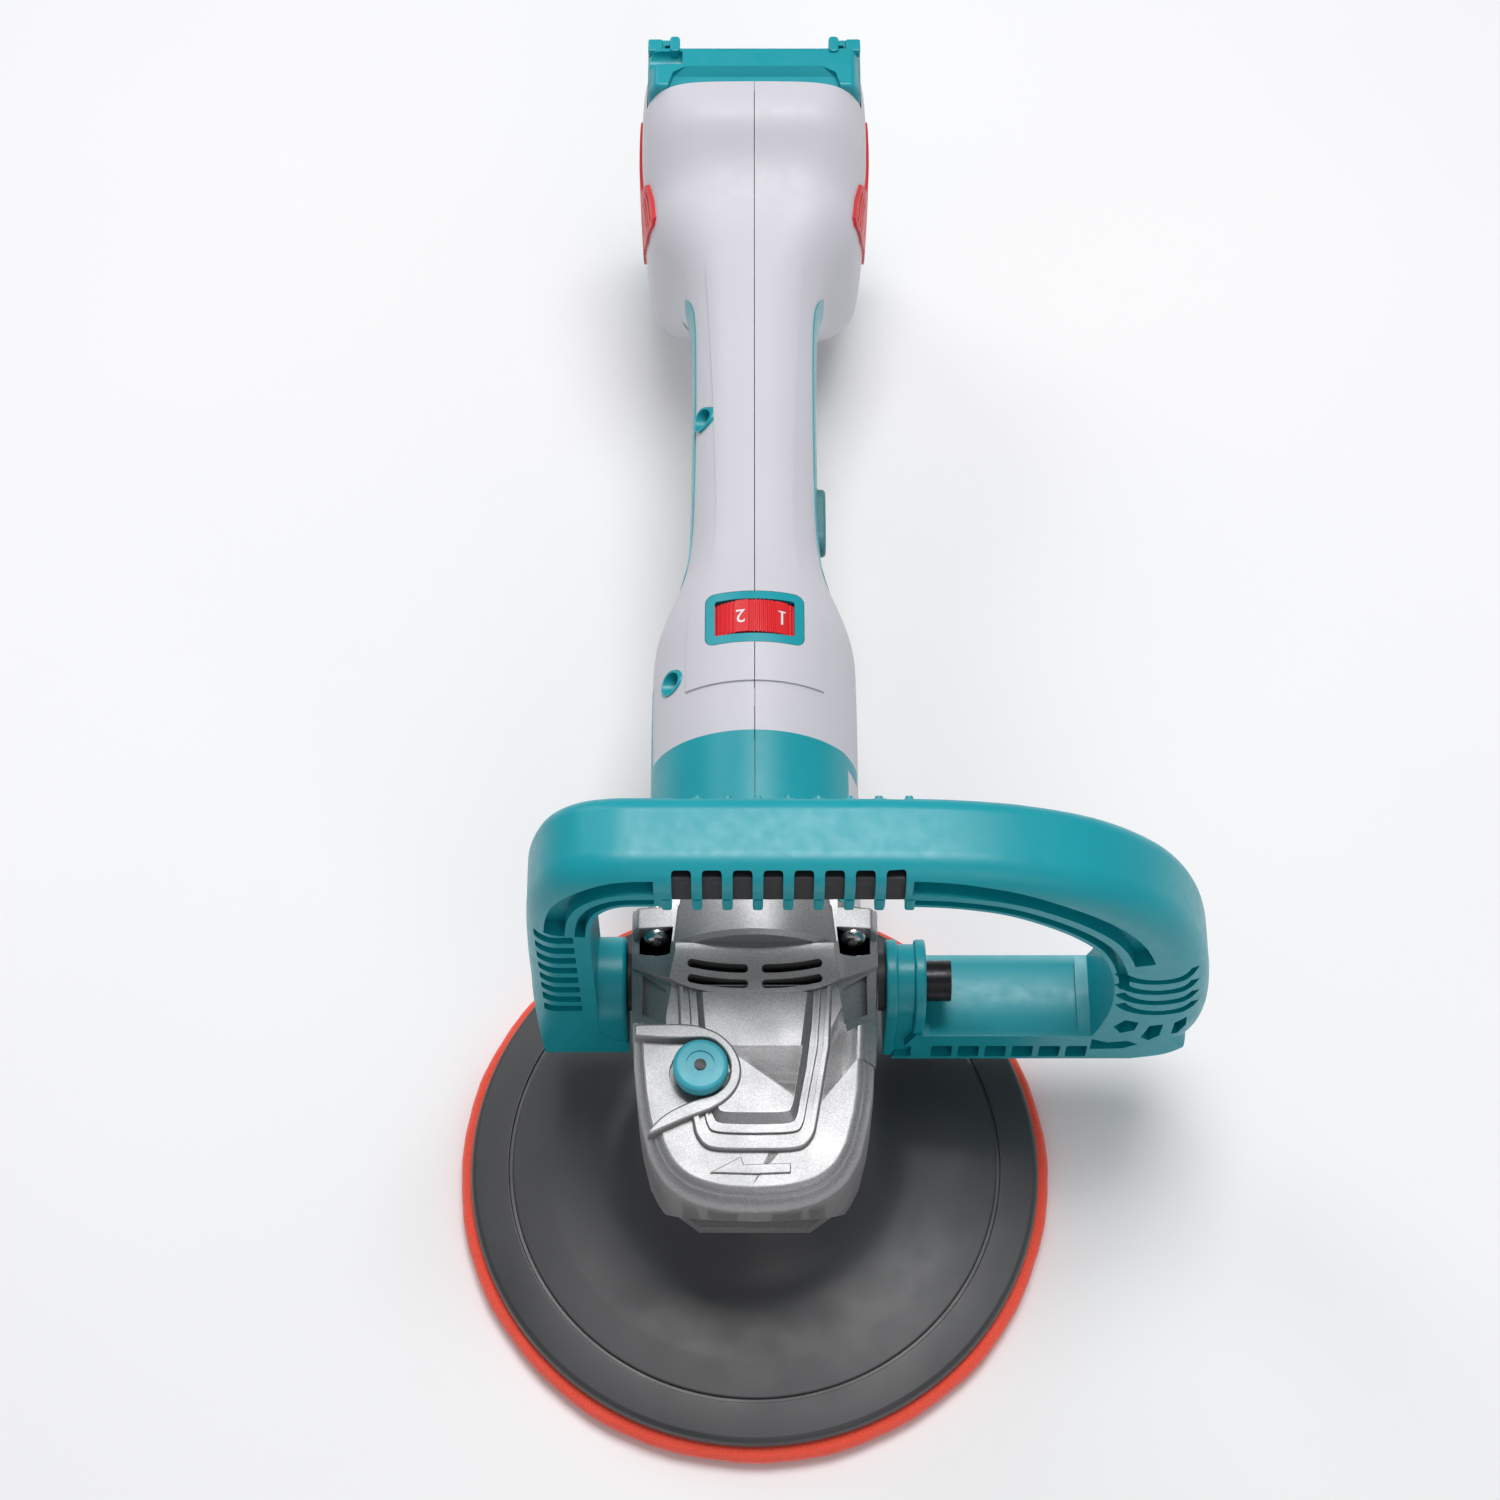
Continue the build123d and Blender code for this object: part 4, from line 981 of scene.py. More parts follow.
    def ridges(self) -> list[bpy.types.Object]:
        """Raised lines and panels of the top face."""
        outer = [(22.7, 22.2), (21.9, 3.6), (18.2, -18.0)]
        outer += curve_through([(18.2, -18.0), (16.8, -23.2), (12.4, -26.8), (0, -27.3)], 5)[1:]
        band = [(21.2, 21.6), (20.0, 3.6), (16.6, -15.5)]
        band += curve_through([(16.6, -15.5), (15.3, -20.8), (11.6, -24.2), (0, -24.7)], 5)[1:]
        line = [(19.5, 21.0), (18.4, 3.6), (15.0, -14.0)]
        line += curve_through([(15.0, -14.0), (13.8, -19.4), (11.0, -21.7), (0, -22.2)], 5)[1:]
        inner = [(18.6, 20.8), (17.5, 3.6), (14.1, -13.5)]
        inner += curve_through([(14.1, -13.5), (13.0, -18.6), (10.4, -20.7), (0, -21.2)], 5)[1:]
        plate = [(15.4, 19.8), (14.0, 3.6), (11.5, -11.0)]
        plate += curve_through([(11.5, -11.0), (10.6, -14.6), (8.6, -16.0), (0, -16.2)], 5)[1:]
        rim = self.sloped("rim", mirrored(outer), 1.0, 1.9)
        bevel(rim, 0.8, 4, 40)
        combine(rim, self.sloped("rim_bore", mirrored(band), -0.2, 4.0))
        thin = self.sloped("thin", mirrored(line), 1.0, 1.2)
        bevel(thin, 0.35, 3, 40)
        combine(thin, self.sloped("thin_bore", mirrored(inner), -0.15, 4.0))
        centre = self.sloped("plate", mirrored(inner), 1.0, 1.9, mirrored(plate))
        outside = curve_through([
            (-35.2, 9.6), (-30, 9.8), (-20.8, 9.8), (-15.4, 9.0), (-10.0, 6.6), (-5.9, 2.2), (-4.0, -3.1),
            (-4.7, -8.1),
            (-7.7, -12.4), (-12.6, -15.6), (-18.7, -17.9), (-23.6, -20.0), (-31.2, -23.4),
        ], 4)
        inside = curve_through([
            (-35.2, 6.0), (-26.9, 5.4), (-20.4, 5.3), (-13.6, 5.3), (-10.0, 3.0), (-7.8, -0.4), (-7.3, -4.3),
            (-8.4, -8.0),
            (-11.8, -11.0), (-18.1, -13.0), (-26.0, -17.0), (-30.8, -21.8),
        ], 4)
        hook = self.sloped("hook", [*outside, *inside[::-1]], 2.5, 2.9)
        bevel(hook, 1.2, 5, 35)
        arrow = [(-13.1, -33.4), (-4.0, -28.6), (-3.3, -31.0), (10.3, -30.5), (10.3, -33.4), (0, -33.8)]
        mark = self.sloped("arrow", arrow, 0.6, 0.8)
        bevel(mark, 0.35, 3, 30)
        raised = [rim, thin, centre]
        x, y = self.lock
        for piece in raised:
            clear = self.sloped("clear", arc((x, y), 10.8, 0, 350, 35), 3.0, 6.0)
            combine(piece, clear)
            side = [(-40, 8.2), (-20, 8.2), (x, 6), (x, -14), (-20, -15.5), (-30.8, -21.5), (-40, -26)]
            combine(piece, self.sloped("clear_side", side, 3.0, 6.0))
        return [smooth(centre, 12), *(smooth(piece, 38) for piece in (rim, thin, hook, mark))]

    def neck(self) -> list[bpy.types.Object]:
        """Round neck behind the hood and its screw lugs at the sides, as closed solids."""
        lugs = prism(
            "neck", mirrored([(36.6, 68), (36.6, 92.6), (35.4, 94.0), (29.0, 95.4)]), 35.6, 47.4, Along.Y
        )
        bevel(lugs, 0.8, 3, 20)
        ends = [(36.6, 70), (36.6, 98.6), (34.8, 102.2), (24.0, 103.6)]
        tops = bevel(prism("neck", mirrored(ends), 40.2, 47.4, Along.Y), 0.7, 3, 20)
        centre, axis = Vector((0, 0, self.motor_z)) * MM, Vector((0, 1, 0))
        ring = [(0, 34.0), (31.4, 34.0), (32.7, 35.4), (32.7, 46.8), (32.4, 47.6), (32.4, 49.9), (0, 49.9)]
        barrel = lathe("barrel", ring, centre, axis, Vector((1, 0, 0)), 128)
        return [lugs, tops, barrel]

    def screws(self, shop: Workshop) -> None:
        """Models the four screws that hold the case, the upper two up in their pockets."""
        screws = []
        for x, z, seat in ((29.2, 98.0, 40.0), (-29.2, 98.0, 40.0), (21.5, 61.7, 40.0), (-21.5, 61.7, 40.0)):
            head = [
                (0, -0.9), (1.5, -0.9), (1.5, -2.3), (2.2, -2.6), (3.3, -2.0), (3.9, -0.6), (3.9, 0.4),
                (2.0, 0.5)
            ]
            shank = [(2.0, 9.0), (1.4, 9.8), (0, 9.8)]
            centre = Vector((x, seat, z)) * MM
            screws.append(lathe("screw", [*head, *shank], centre, Vector((0, 1, 0)), Vector((1, 0, 0)), 48))
        whole = join("gear_case_screws_turned", screws)
        shop.fit(smooth(whole, 34), Part.BODY, "bright_steel", ["gear_case_screws"])

    def build(self, shop: Workshop) -> None:
        """Models the gear case and its small features."""
        x, y = self.lock
        case, hood, neck = self.block(), self.hood(), self.neck()
        for cutter in self.vent_cutters():
            cut_all([case, hood], cutter)
        for hand in (1, -1):
            pocket = [
                (hand * 24.2, 40.5), (hand * 34.4, 40.5), (hand * 34.4, 34.4), (hand * 30.0, 32.2),
                (hand * 25.0, 31.4)
            ]
            cut_all([case, hood, *neck], prism("pocket", pocket, 93.6, 120, Along.Z))
            combine(case, self.shoulder_recess(hand))
        combine(case, cylinder("hollow", (x, y, 102.5), 9.2, 14.0, Along.Z, 64))
        low_side = [(-40, 6.2), (-20, 6.2), (x, 6), (x, -13), (-19, -14.5), (-30.4, -21.6), (-40, -26)]
        combine(case, self.sloped("low_side", low_side, 1.1, 6.0))
        bosses = [
            bevel(cylinder("boss", (hand * 34.6, 35, 76), 9.6, 4.2, Along.X, 64), 0.6, 3) for hand in (1, -1)
        ]
        cast = [smooth(piece, 34) for piece in (case, hood, *neck, *bosses)]
        whole = join("gear_case_cast", [*cast, *self.ridges()])
        shop.fit(whole, Part.BODY, "die_cast", ["gear_case"])
        self.screws(shop)


# ---------------------------------------------------------------- loop handle


@dataclass
class LoopHandle:
    """D-shaped front handle with its rows of moulded slots."""

    front: float = 21.5
    back: float = 48.5
    front_round: float = 9.0
    back_round: float = 5.5
    pitch: float = 8.42
    first_slot: float = -20.3
    toes: tuple[tuple[Point, ...], ...] = (
        ((108.5, 72.5), (111.5, 77.5), (115.8, 75.6), (115.2, 69.6), (111.0, 67.4)),
        ((119.4, 73.0), (123.4, 74.2), (123.2, 65.6), (120.2, 61.6), (117.6, 64.2)),
        ((126.6, 75.6), (129.8, 79.6), (130.4, 73.0), (128.4, 67.2), (126.6, 66.8)),
        ((103.0, 62.6), (108.0, 60.0), (114.0, 61.2), (117.4, 58.4), (113.0, 55.2), (103.0, 54.6)),
    )

    def outer(self) -> list[Point]:
        """Outer outline in X and Z, from the lower left, clockwise."""
        corner = curve_through([
            (-66.5, 92), (-66.2, 114), (-65.2, 137), (-63.4, 152), (-58.6, 165), (-50.5, 172.8), (-40, 175.8),
            (-30, 176),
        ], 5)
        sweep = curve_through([
            (36, 176), (56, 174.8), (74, 171.8), (92.5, 165.4), (107, 156.0), (119.5, 142.5), (128.2, 125),
            (133.5, 105),
            (136.2, 84), (136.2, 70), (133.6, 60), (127.0, 51.0), (116, 47.0),
        ], 5)
        return [(-64.5, 52), *corner, *sweep]

    def inner_curve(self) -> list[Point]:
        """Upper inner edge, from the left leg over the bar and down the right side."""
        left = curve_through(
            [(-47, 104), (-46.8, 131), (-46.2, 144), (-43.6, 153), (-38.0, 157.8), (-31, 158.5)], 5
        )
        right = curve_through([
            (40, 158.5), (54, 157.3), (68.4, 153.4), (80, 146.6), (91, 137.2), (99.0, 126.5), (104.0, 112),
            (106.0, 98),
            (106.0, 84), (104, 70),
        ], 5)
        return [*left, *right]

    def round_rim(self, loop: bpy.types.Object, face: float, width: float) -> None:
        """Rounds the outer rim of one face.

        Args:
            loop: The extruded loop.
            face: Place of the face along Y, in millimetres.
            width: Radius of the rounding.
        """
        rim = self.outer()
        with editing(loop, "EDGE") as mesh:
            for edge in mesh.edges:
                ends = [v.co / MM for v in edge.verts]
                edge.select = all(abs(p.y - face) < 0.01 and self.on_rim(p, rim) for p in ends)
            bmesh.update_edit_mesh(loop.data)
            bpy.ops.mesh.bevel(offset=width * MM, segments=10, profile=0.5, clamp_overlap=False)

    def on_rim(self, point: Vector, rim: Sequence[Point]) -> bool:
        """Tells whether a point lies on the outer rim above the feet."""
        if point.z < 58 or (point.z < 90 and point.x < 60):
            return False
        return any(math.hypot(point.x - x, point.z - z) < 0.05 for x, z in rim)

    def blank(self) -> bpy.types.Object:
        """Extruded loop with its outer rim rounded over and its other edges broken."""
        inner = [(-38.5, 60), (-44, 63), (-47, 68), *self.inner_curve(), (102.5, 65), (49, 65)]
        outline = [*self.outer(), (42, 47), *inner[::-1], (-38.5, 52)]
        loop = prism("loop_handle_moulded", outline, self.front, self.back, Along.Y)
        self.round_rim(loop, self.front, self.front_round)
        self.round_rim(loop, self.back, self.back_round)
        return bevel(face_out(loop), 1.1, 3, 40)

    def ear(self, low: float, high: float, radius: float, foot: float) -> bpy.types.Object:
        """Rounded ear round the bolt axis, from one X to another."""
        top = arc((35, 76), radius, 0, 180, 20)
        return prism("ear", [*top, (35 - radius, foot), (35 + radius, foot)], low, high, Along.X)

    def slot_row(self) -> list[bpy.types.Object]:
        """Cutters for the straight slots of the top bar, the left leg and the lower bar."""
        cutters = []
        for face in (self.front, self.back):
            inward = 1 if face == self.front else -1
            ends = sorted((face - inward * 2, face + inward * 9.5))
            deep = sorted((face - inward * 2, face + inward * 13.0))
            for i in range(8):
                x = self.first_slot + self.pitch * i
                cutters.append(prism("bar_slot", rounded(5.5, 20, 0.8, 2, (x, 164.2)), *deep, Along.Y))
            shallow = sorted((face - inward * 2, face + inward * 4.4))
            for i in range(8):
                x = -57.2 - 0.02 * i
                cutters.append(
                    prism("leg_slot", rounded(11.4, 4.1, 0.5, 2, (x, 86.5 + 7.0 * i)), *shallow, Along.Y)
                )
            for i in range(6):
                cutters.append(
                    prism("low_slot", rounded(6.4, 8.4, 0.6, 2, (57.5 + 8.3 * i, 52.9)), *ends, Along.Y)
                )
            cutters.append(prism("ear_slot", rounded(4.9, 8.4, 0.6, 2, (45.6, 52.9)), *ends, Along.Y))
        return cutters

    def groove_bands(self) -> list[bpy.types.Object]:
        """Cutters for the long curved grooves beside the opening and the fan of slots at the right."""
        curve = self.inner_curve()
        left = [p for p in curve if p[0] < -30.9 and p[1] > 139]
        left = [(-46.9, 137.6), *left, (-28.0, 158.5)]
        right = [(42.6, 158.4), *(p for p in curve if p[0] > 45 and p[1] > 99)]
        cutters = []
        for face in (self.front, self.back):
            inward = 1 if face == self.front else -1
            ends = sorted((face - inward * 2, face + inward * 5.0))
            for line in (left, right):
                cutters.append(prism("thin_groove", strip(line, 1.4, 4.4), *ends, Along.Y))
                reach = line if line is left else [p for p in line if p[1] > 112]
                cutters.append(prism("wide_groove", strip(reach, 7.2, 13.2), *ends, Along.Y))
            for i in range(4):
                smile = arc((117.2 + 0.9 * i, 118.4 - 7.6 * i), 12.6, 205, 333, 10)
                cutters.append(prism("fan_slot", strip(smile, -1.6, 1.6), *ends, Along.Y))
            for toe in self.toes:
                cutters.append(prism("toe_pocket", toe, *ends, Along.Y))
        return cutters

    def build(self, shop: Workshop) -> None:
        """Models the handle and the black core behind its bar slots, a dark piece that paints the shade inside
        the slots.
        """
        loop = self.blank()
        trough = arc((35, 99), 36.5, 225, 315, 16)
        combine(loop, prism("trough", [*trough, (70, 90), (0, 90)], 53.5, 98.6, Along.X))
        combine(loop, bevel(self.ear(-52.5, -38.5, 13.4, 52.3), 1.6, 4), "UNION")
        combine(loop, join("cutters", self.slot_row()))
        for cutter in self.groove_bands():
            combine(loop, cutter)
        ears = [bevel(self.ear(*reach, radius, 47.2), 0.7, 3) for *reach, radius in (
            (39.5, 43.0, 12.6), (42.6, 48.6, 11.2), (48.2, 51.5, 12.6))]
        for ear in ears:
            combine(ear, cylinder("bolt_hole", (40, 35, 76), 4.15, 60, Along.X))
        combine(loop, cylinder("bolt_hole", (0, 35, 76), 4.15, 180, Along.X))
        combine(loop, cylinder("bolt_sink", (-62.0, 35, 76), 7.6, 20.0, Along.X))
        ribs = []
        for i in range(9):
            x = self.first_slot + self.pitch * (i - 0.5)
            for low, high in ((self.front - 0.3, self.front + 4), (self.back - 4, self.back + 1.2)):
                rib = prism(
                    "rib", rounded(2.8, high - low, 0.7, 3, (x, (low + high) / 2)), 156.9, 163.0, Along.Z
                )
                ribs.append(rib)
            if i:
                nub = rounded(2.2, 9.0, 0.8, 3, (x, 166.5))
                ribs.append(prism("nub", nub, self.back - 6, self.back + 1.2, Along.Y))
        whole = join("loop_handle_moulded", [loop, *ears, *ribs])
        shop.fit(smooth(whole, 34), Part.HANDLE, "teal_plastic", ["loop_handle"])
        # Painted shade: a black core fills the bar so that its slots look dark inside, standing in for the shadow
        # there.
        core = prism("slot_shade_core", rounded(69.6, 13.0, 1.0, 3, (9.2, 164.5)), 23.6, 46.4, Along.Y)
        shop.fit(smooth(bevel(core, 1.0, 3, 40), 34), Part.HANDLE, "black_plastic")


# ---------------------------------------------------------------- plastic body


@dataclass(frozen=True)
class Station:
    """One cross-section of the body: its place, half width, lowest and highest point, and squareness."""

    y: float
    half: float
    low: float
    high: float
    square: float


@dataclass
class Casing:
    """White housing halves with the teal band, grip inlays, red bumpers, wells and raised panels."""

    sides: int = 32
    wall: float = 2.4
    seam: float = 0.13
    stations: list[Station] = field(default_factory=lambda: [
        Station(50.1, 32.5, 48.5, 113.5, 2.0), Station(51, 32.5, 48.5, 113.5, 2.0),
        Station(75, 32.5, 48.5, 113.5, 2.0), Station(100, 32.5, 48.5, 113.5, 2.0),
        Station(120, 32.5, 48.5, 113.5, 2.0), Station(138, 32.4, 48.6, 113.4, 2.0),
        Station(145, 31.8, 49.2, 113.1, 2.05), Station(152, 29.8, 50.6, 112.2, 2.1),
        Station(159, 26.8, 52.6, 110.8, 2.25), Station(166, 23.6, 54.8, 109.3, 2.4),
        Station(174, 21.5, 56.8, 108.3, 2.55), Station(184, 20.7, 57.8, 107.9, 2.6),
        Station(205, 20.4, 58.2, 107.8, 2.6), Station(235, 20.3, 58.4, 107.6, 2.6),
        Station(260, 20.5, 58.4, 107.6, 2.6), Station(274, 21.4, 57.6, 107.9, 2.6),
        Station(284, 24.0, 54.0, 108.4, 2.7), Station(292, 29.0, 45.5, 108.9, 3.0),
        Station(299, 34.2, 35.0, 109.6, 3.5), Station(306, 36.6, 26.0, 110.9, 4.2),
        Station(313, 37.4, 19.6, 112.6, 3.6), Station(320, 38.2, 15.6, 115.8, 3.9),
        Station(326, 38.6, 13.4, 120.4, 4.2), Station(331, 38.9, 12.5, 123.6, 4.4),
        Station(337, 39.1, 12.0, 124.6, 4.6), Station(345, 39.1, 12.0, 124.8, 4.8),
        Station(353, 39.0, 12.4, 124.4, 4.8), Station(358.5, 38.5, 13.2, 123.6, 4.8),
        Station(360.4, 38.0, 14.0, 122.8, 4.8),
    ])
    wells: list[tuple[float, float, float]] = field(default_factory=lambda: [
        (125.0, 100.0, 12.0), (125.0, 61.0, 12.0), (223.0, 100.5, 7.0), (283.0, 64.5, 8.0),
        (327.0, 26.0, 12.0),
    ])

    def ring(self, station: Station, lift: float) -> list[Vector]:
        """Points of one cross-section, raised by a lift."""
        middle, tall = (station.low + station.high) / 2, (station.high - station.low) / 2
        power = 2 / station.square
        points = []
        for i in range(self.sides):
            angle = math.tau * (i + 0.5) / self.sides
            c, s = math.cos(angle), math.sin(angle)
            x = math.copysign(abs(c) ** power, c) * (station.half + lift)
            z = middle + math.copysign(abs(s) ** power, s) * (tall + lift)
            points.append(Vector((x, station.y, z)) * MM)
        return points

    def skin(self, name: str, lift: float, thickness: float) -> bpy.types.Object:
        """Tube that follows the body's surface.

        Args:
            name: Name of the new object.
            lift: How far its outer face stands off the body.
            thickness: Its wall.

        Returns:
            A closed tube, open at both ends of the body.
        """
        clear_selection()
        bpy.ops.mesh.primitive_circle_add(vertices=self.sides, radius=MM, fill_type="NOTHING")
        tube = settle(new_piece(name))
        with editing(tube) as mesh:
            bpy.ops.mesh.select_all(action="SELECT")
            for i, station in enumerate(self.stations):
                if i:
                    bpy.ops.mesh.extrude_region_move(TRANSFORM_OT_translate={"value": (0, 0, 0)})
                mesh = bmesh.from_edit_mesh(tube.data)
                ring = sorted((v for v in mesh.verts if v.select), key=lambda v: v.index)
                for vertex, place in zip(ring, self.ring(station, lift)):
                    vertex.co = place
                bmesh.update_edit_mesh(tube.data)
        face_out(tube)
        apply_modifier(tube, "SUBSURF", levels=2, render_levels=2)
        apply_modifier(tube, "SOLIDIFY", thickness=thickness * MM, offset=-1.0, use_even_offset=True)
        return tube

    def patch(self, name: str, lift: float, thickness: float, tool: bpy.types.Object) -> bpy.types.Object:
        """Piece of skin inside a tool's outline."""
        return combine(self.skin(name, lift, thickness), tool, "INTERSECT")

    def housing(self, shop: Workshop) -> None:
        """Models the two white halves with their openings and raised panels."""
        tube = self.skin("housing", 0.0, self.wall)
        window = prism("window", rounded(30.9, 18.9, 3.0, 6, (0, 141.5)), 95, 125, Along.Z)
        combine(tube, window)
        combine(
            tube, prism("frame_room", [(-36.6, 344), (36.6, 344), (36.6, 370), (-36.6, 370)], 0, 140, Along.Z)
        )
        for low, high in ((114, 140), (0, 22)):
            corner = [(344, low), (366, low), (366, high), (344, high)]
            combine(tube, prism("frame_corner", corner, -60, 60, Along.X))
        for y, z, seat in self.wells:
            combine(tube, cylinder("well", (-seat - 30, y, z), 4.25, 60, Along.X))
        button = prism("button_slot", rounded(24.8, 11.8, 5.8, 8, (193, 85)), 10, 30, Along.X)
        combine(tube, button)
        combine(tube, prism("trigger_slot", rounded(22.4, 89, 1.5, 4, (0, 208.5)), 40, 66, Along.Z))
        for i in range(5):
            slot = prism("intake", rounded(2.4, 15, 1.15, 4, (133.5 + 5.2 * i, 66)), -60, 60, Along.X)
            combine(tube, slot)
        for name, keep_low, node in (
            ("housing_left", True, "housing_left"), ("housing_right", False, "housing_right")
        ):
            half = halve(copy_of(tube, name + "_moulded"), -self.seam if keep_low else self.seam, keep_low)
            shop.fit(smooth(bevel(half, 0.22, 2, 40), 30), Part.BODY, "white_plastic", [node])
        bpy.data.objects.remove(tube)

    def panels(self, shop: Workshop) -> None:
        """Models the raised panels: round the speed wheel and along the top of the grip."""
        surround = [(21.3, 118.6), (21.3, 134), (20.3, 146), (17.2, 154.5), (13.9, 164.0), (12.6, 176)]
        tip = [
            (16.2 * math.cos(math.radians(a)), 280 + 15.7 * math.sin(math.radians(a)))
            for a in range(0, 181, 12)
        ]
        right = [*curve_through([(12.3, 187), (13.4, 226), (15.2, 265)], 4), tip[0]]
        outline = surround + right + tip[1:-1] + [(-x, y) for x, y in reversed(surround + right)]
        panel = self.patch("top_panel", 0.75, 1.2, prism("panel_cut", outline, 82, 130, Along.Z))
        combine(panel, prism("window", rounded(30.9, 18.9, 3.0, 6, (0, 141.5)), 95, 125, Along.Z))
        for y, z, seat in self.wells:
            combine(panel, cylinder("well", (-seat - 30, y, z), 4.25, 60, Along.X))
        for name, keep_low in (("top_panel_left", True), ("top_panel_right", False)):
            half = halve(copy_of(panel, name), -self.seam if keep_low else self.seam, keep_low)
            shop.fit(smooth(bevel(half, 0.3, 3, 40), 30), Part.BODY, "white_plastic")
        bpy.data.objects.remove(panel)

    def band(self, shop: Workshop) -> None:
        """Models the teal band at the front of the barrel."""
        right = [
            (0, 49), (29.4, 49), (29.0, 60), (28.7, 97.0), (31.6, 95.4), (31.9, 100.4), (27.5, 101.6),
            (0, 101.6)
        ]
        left = [(0, 49), (-40, 49), (-40, 101.6), (0, 101.6)]
        tool = prism("right_cut", right, 82, 125, Along.Z)
        half = halve(self.patch("band_right_moulded", 0.12, 1.0, tool), self.seam, False)
        shop.fit(smooth(bevel(half, 0.12, 2, 40), 30), Part.BODY, "teal_plastic", ["band_right"])
        side = [
            (49, 40), (49, 125), (101.6, 125), (101.6, 88), (131, 84), (133, 70), (131, 56), (101.6, 50),
            (101.6, 40)
        ]
        tool = prism("left_cut", side, -60, 0, Along.X)
        half = halve(self.patch("band_left_moulded", 0.12, 1.0, tool), -self.seam, True)
        shop.fit(smooth(bevel(half, 0.12, 2, 40), 30), Part.BODY, "teal_plastic", ["band_left"])

    def inlays(self, shop: Workshop) -> None:
        """Models the teal rubber inlays on both sides of the grip."""
        edge = curve_through(
            [(161, 82), (166, 88.6), (176, 92.6), (205, 94.0), (250, 94.0), (272, 93.6), (281, 87)], 5
        )
        back = curve_through(
            [(281, 87), (279, 76), (268, 68), (240, 65), (186, 65.5), (167, 71), (161, 82)], 5
        )
        for hand, node in ((-1, "grip_inlay_left"), (1, "grip_inlay_right")):
            tool = prism("inlay_cut", [*edge, *back[1:-1]], *sorted((hand * 4.0, hand * 60)), Along.X)
            inlay = self.patch(node + "_soft", 0.35, 1.2, tool)
            if hand == 1:
                combine(inlay, prism("button_slot", rounded(25.6, 12.6, 6.2, 8, (193, 85)), 10, 30, Along.X))
            for y, z, seat in self.wells:
                if hand == -1:
                    combine(inlay, cylinder("well", (-seat - 30, y, z), 4.25, 60, Along.X))
            shop.fit(smooth(bevel(inlay, 0.25, 3, 40), 30), Part.BODY, "teal_rubber", [node])

    def bumpers(self, shop: Workshop) -> None:
        """Models the ribbed red bumpers on the sides of the foot."""
        outline = [(307, 84), (320, 60), (328, 44.5), (353, 41), (358.6, 45), (358.6, 86), (355, 89.5), (324, 90),
                   (320, 99.5), (306, 99.5), (304.5, 97)]
        for hand, node in ((-1, "side_bumper_left"), (1, "side_bumper_right")):
            tool = prism("bumper_cut", outline, *sorted((hand * 27.0, hand * 60)), Along.X)
            bumper = self.patch(node + "_soft", 1.0, 1.6, tool)
            for i in range(4):
                rib = self.bar(hand, 53.0 + 9.5 * i)
                combine(bumper, rib)
            for i in range(3):
                low = 90.5 + 2.9 * i
                step = prism(
                    "tab_rib", rounded(12.0, 1.2, 0.4, 2, (312.6, low + 0.6)),
                    *sorted((hand * 30.0, hand * 60)), Along.X
                )
                combine(bumper, combine(step, self.skin("floor", 0.45, 8.0)))
            shop.fit(smooth(bevel(bumper, 0.35, 2, 40), 30), Part.BODY, "red_rubber", [node])

    def bar(self, hand: int, z: float) -> bpy.types.Object:
        """Cutter for one long shallow groove of a bumper."""
        groove = prism(
            "groove", rounded(40, 1.6, 0.7, 3, (332, z)), *sorted((hand * 30.0, hand * 60)), Along.X
        )
        return combine(groove, self.skin("floor", 0.45, 8.0))

    def build(self, shop: Workshop) -> None:
        """Models the whole casing."""
        self.housing(shop)
        self.panels(shop)
        self.band(shop)
        self.inlays(shop)
        self.bumpers(shop)


# ---------------------------------------------------------------- speed control


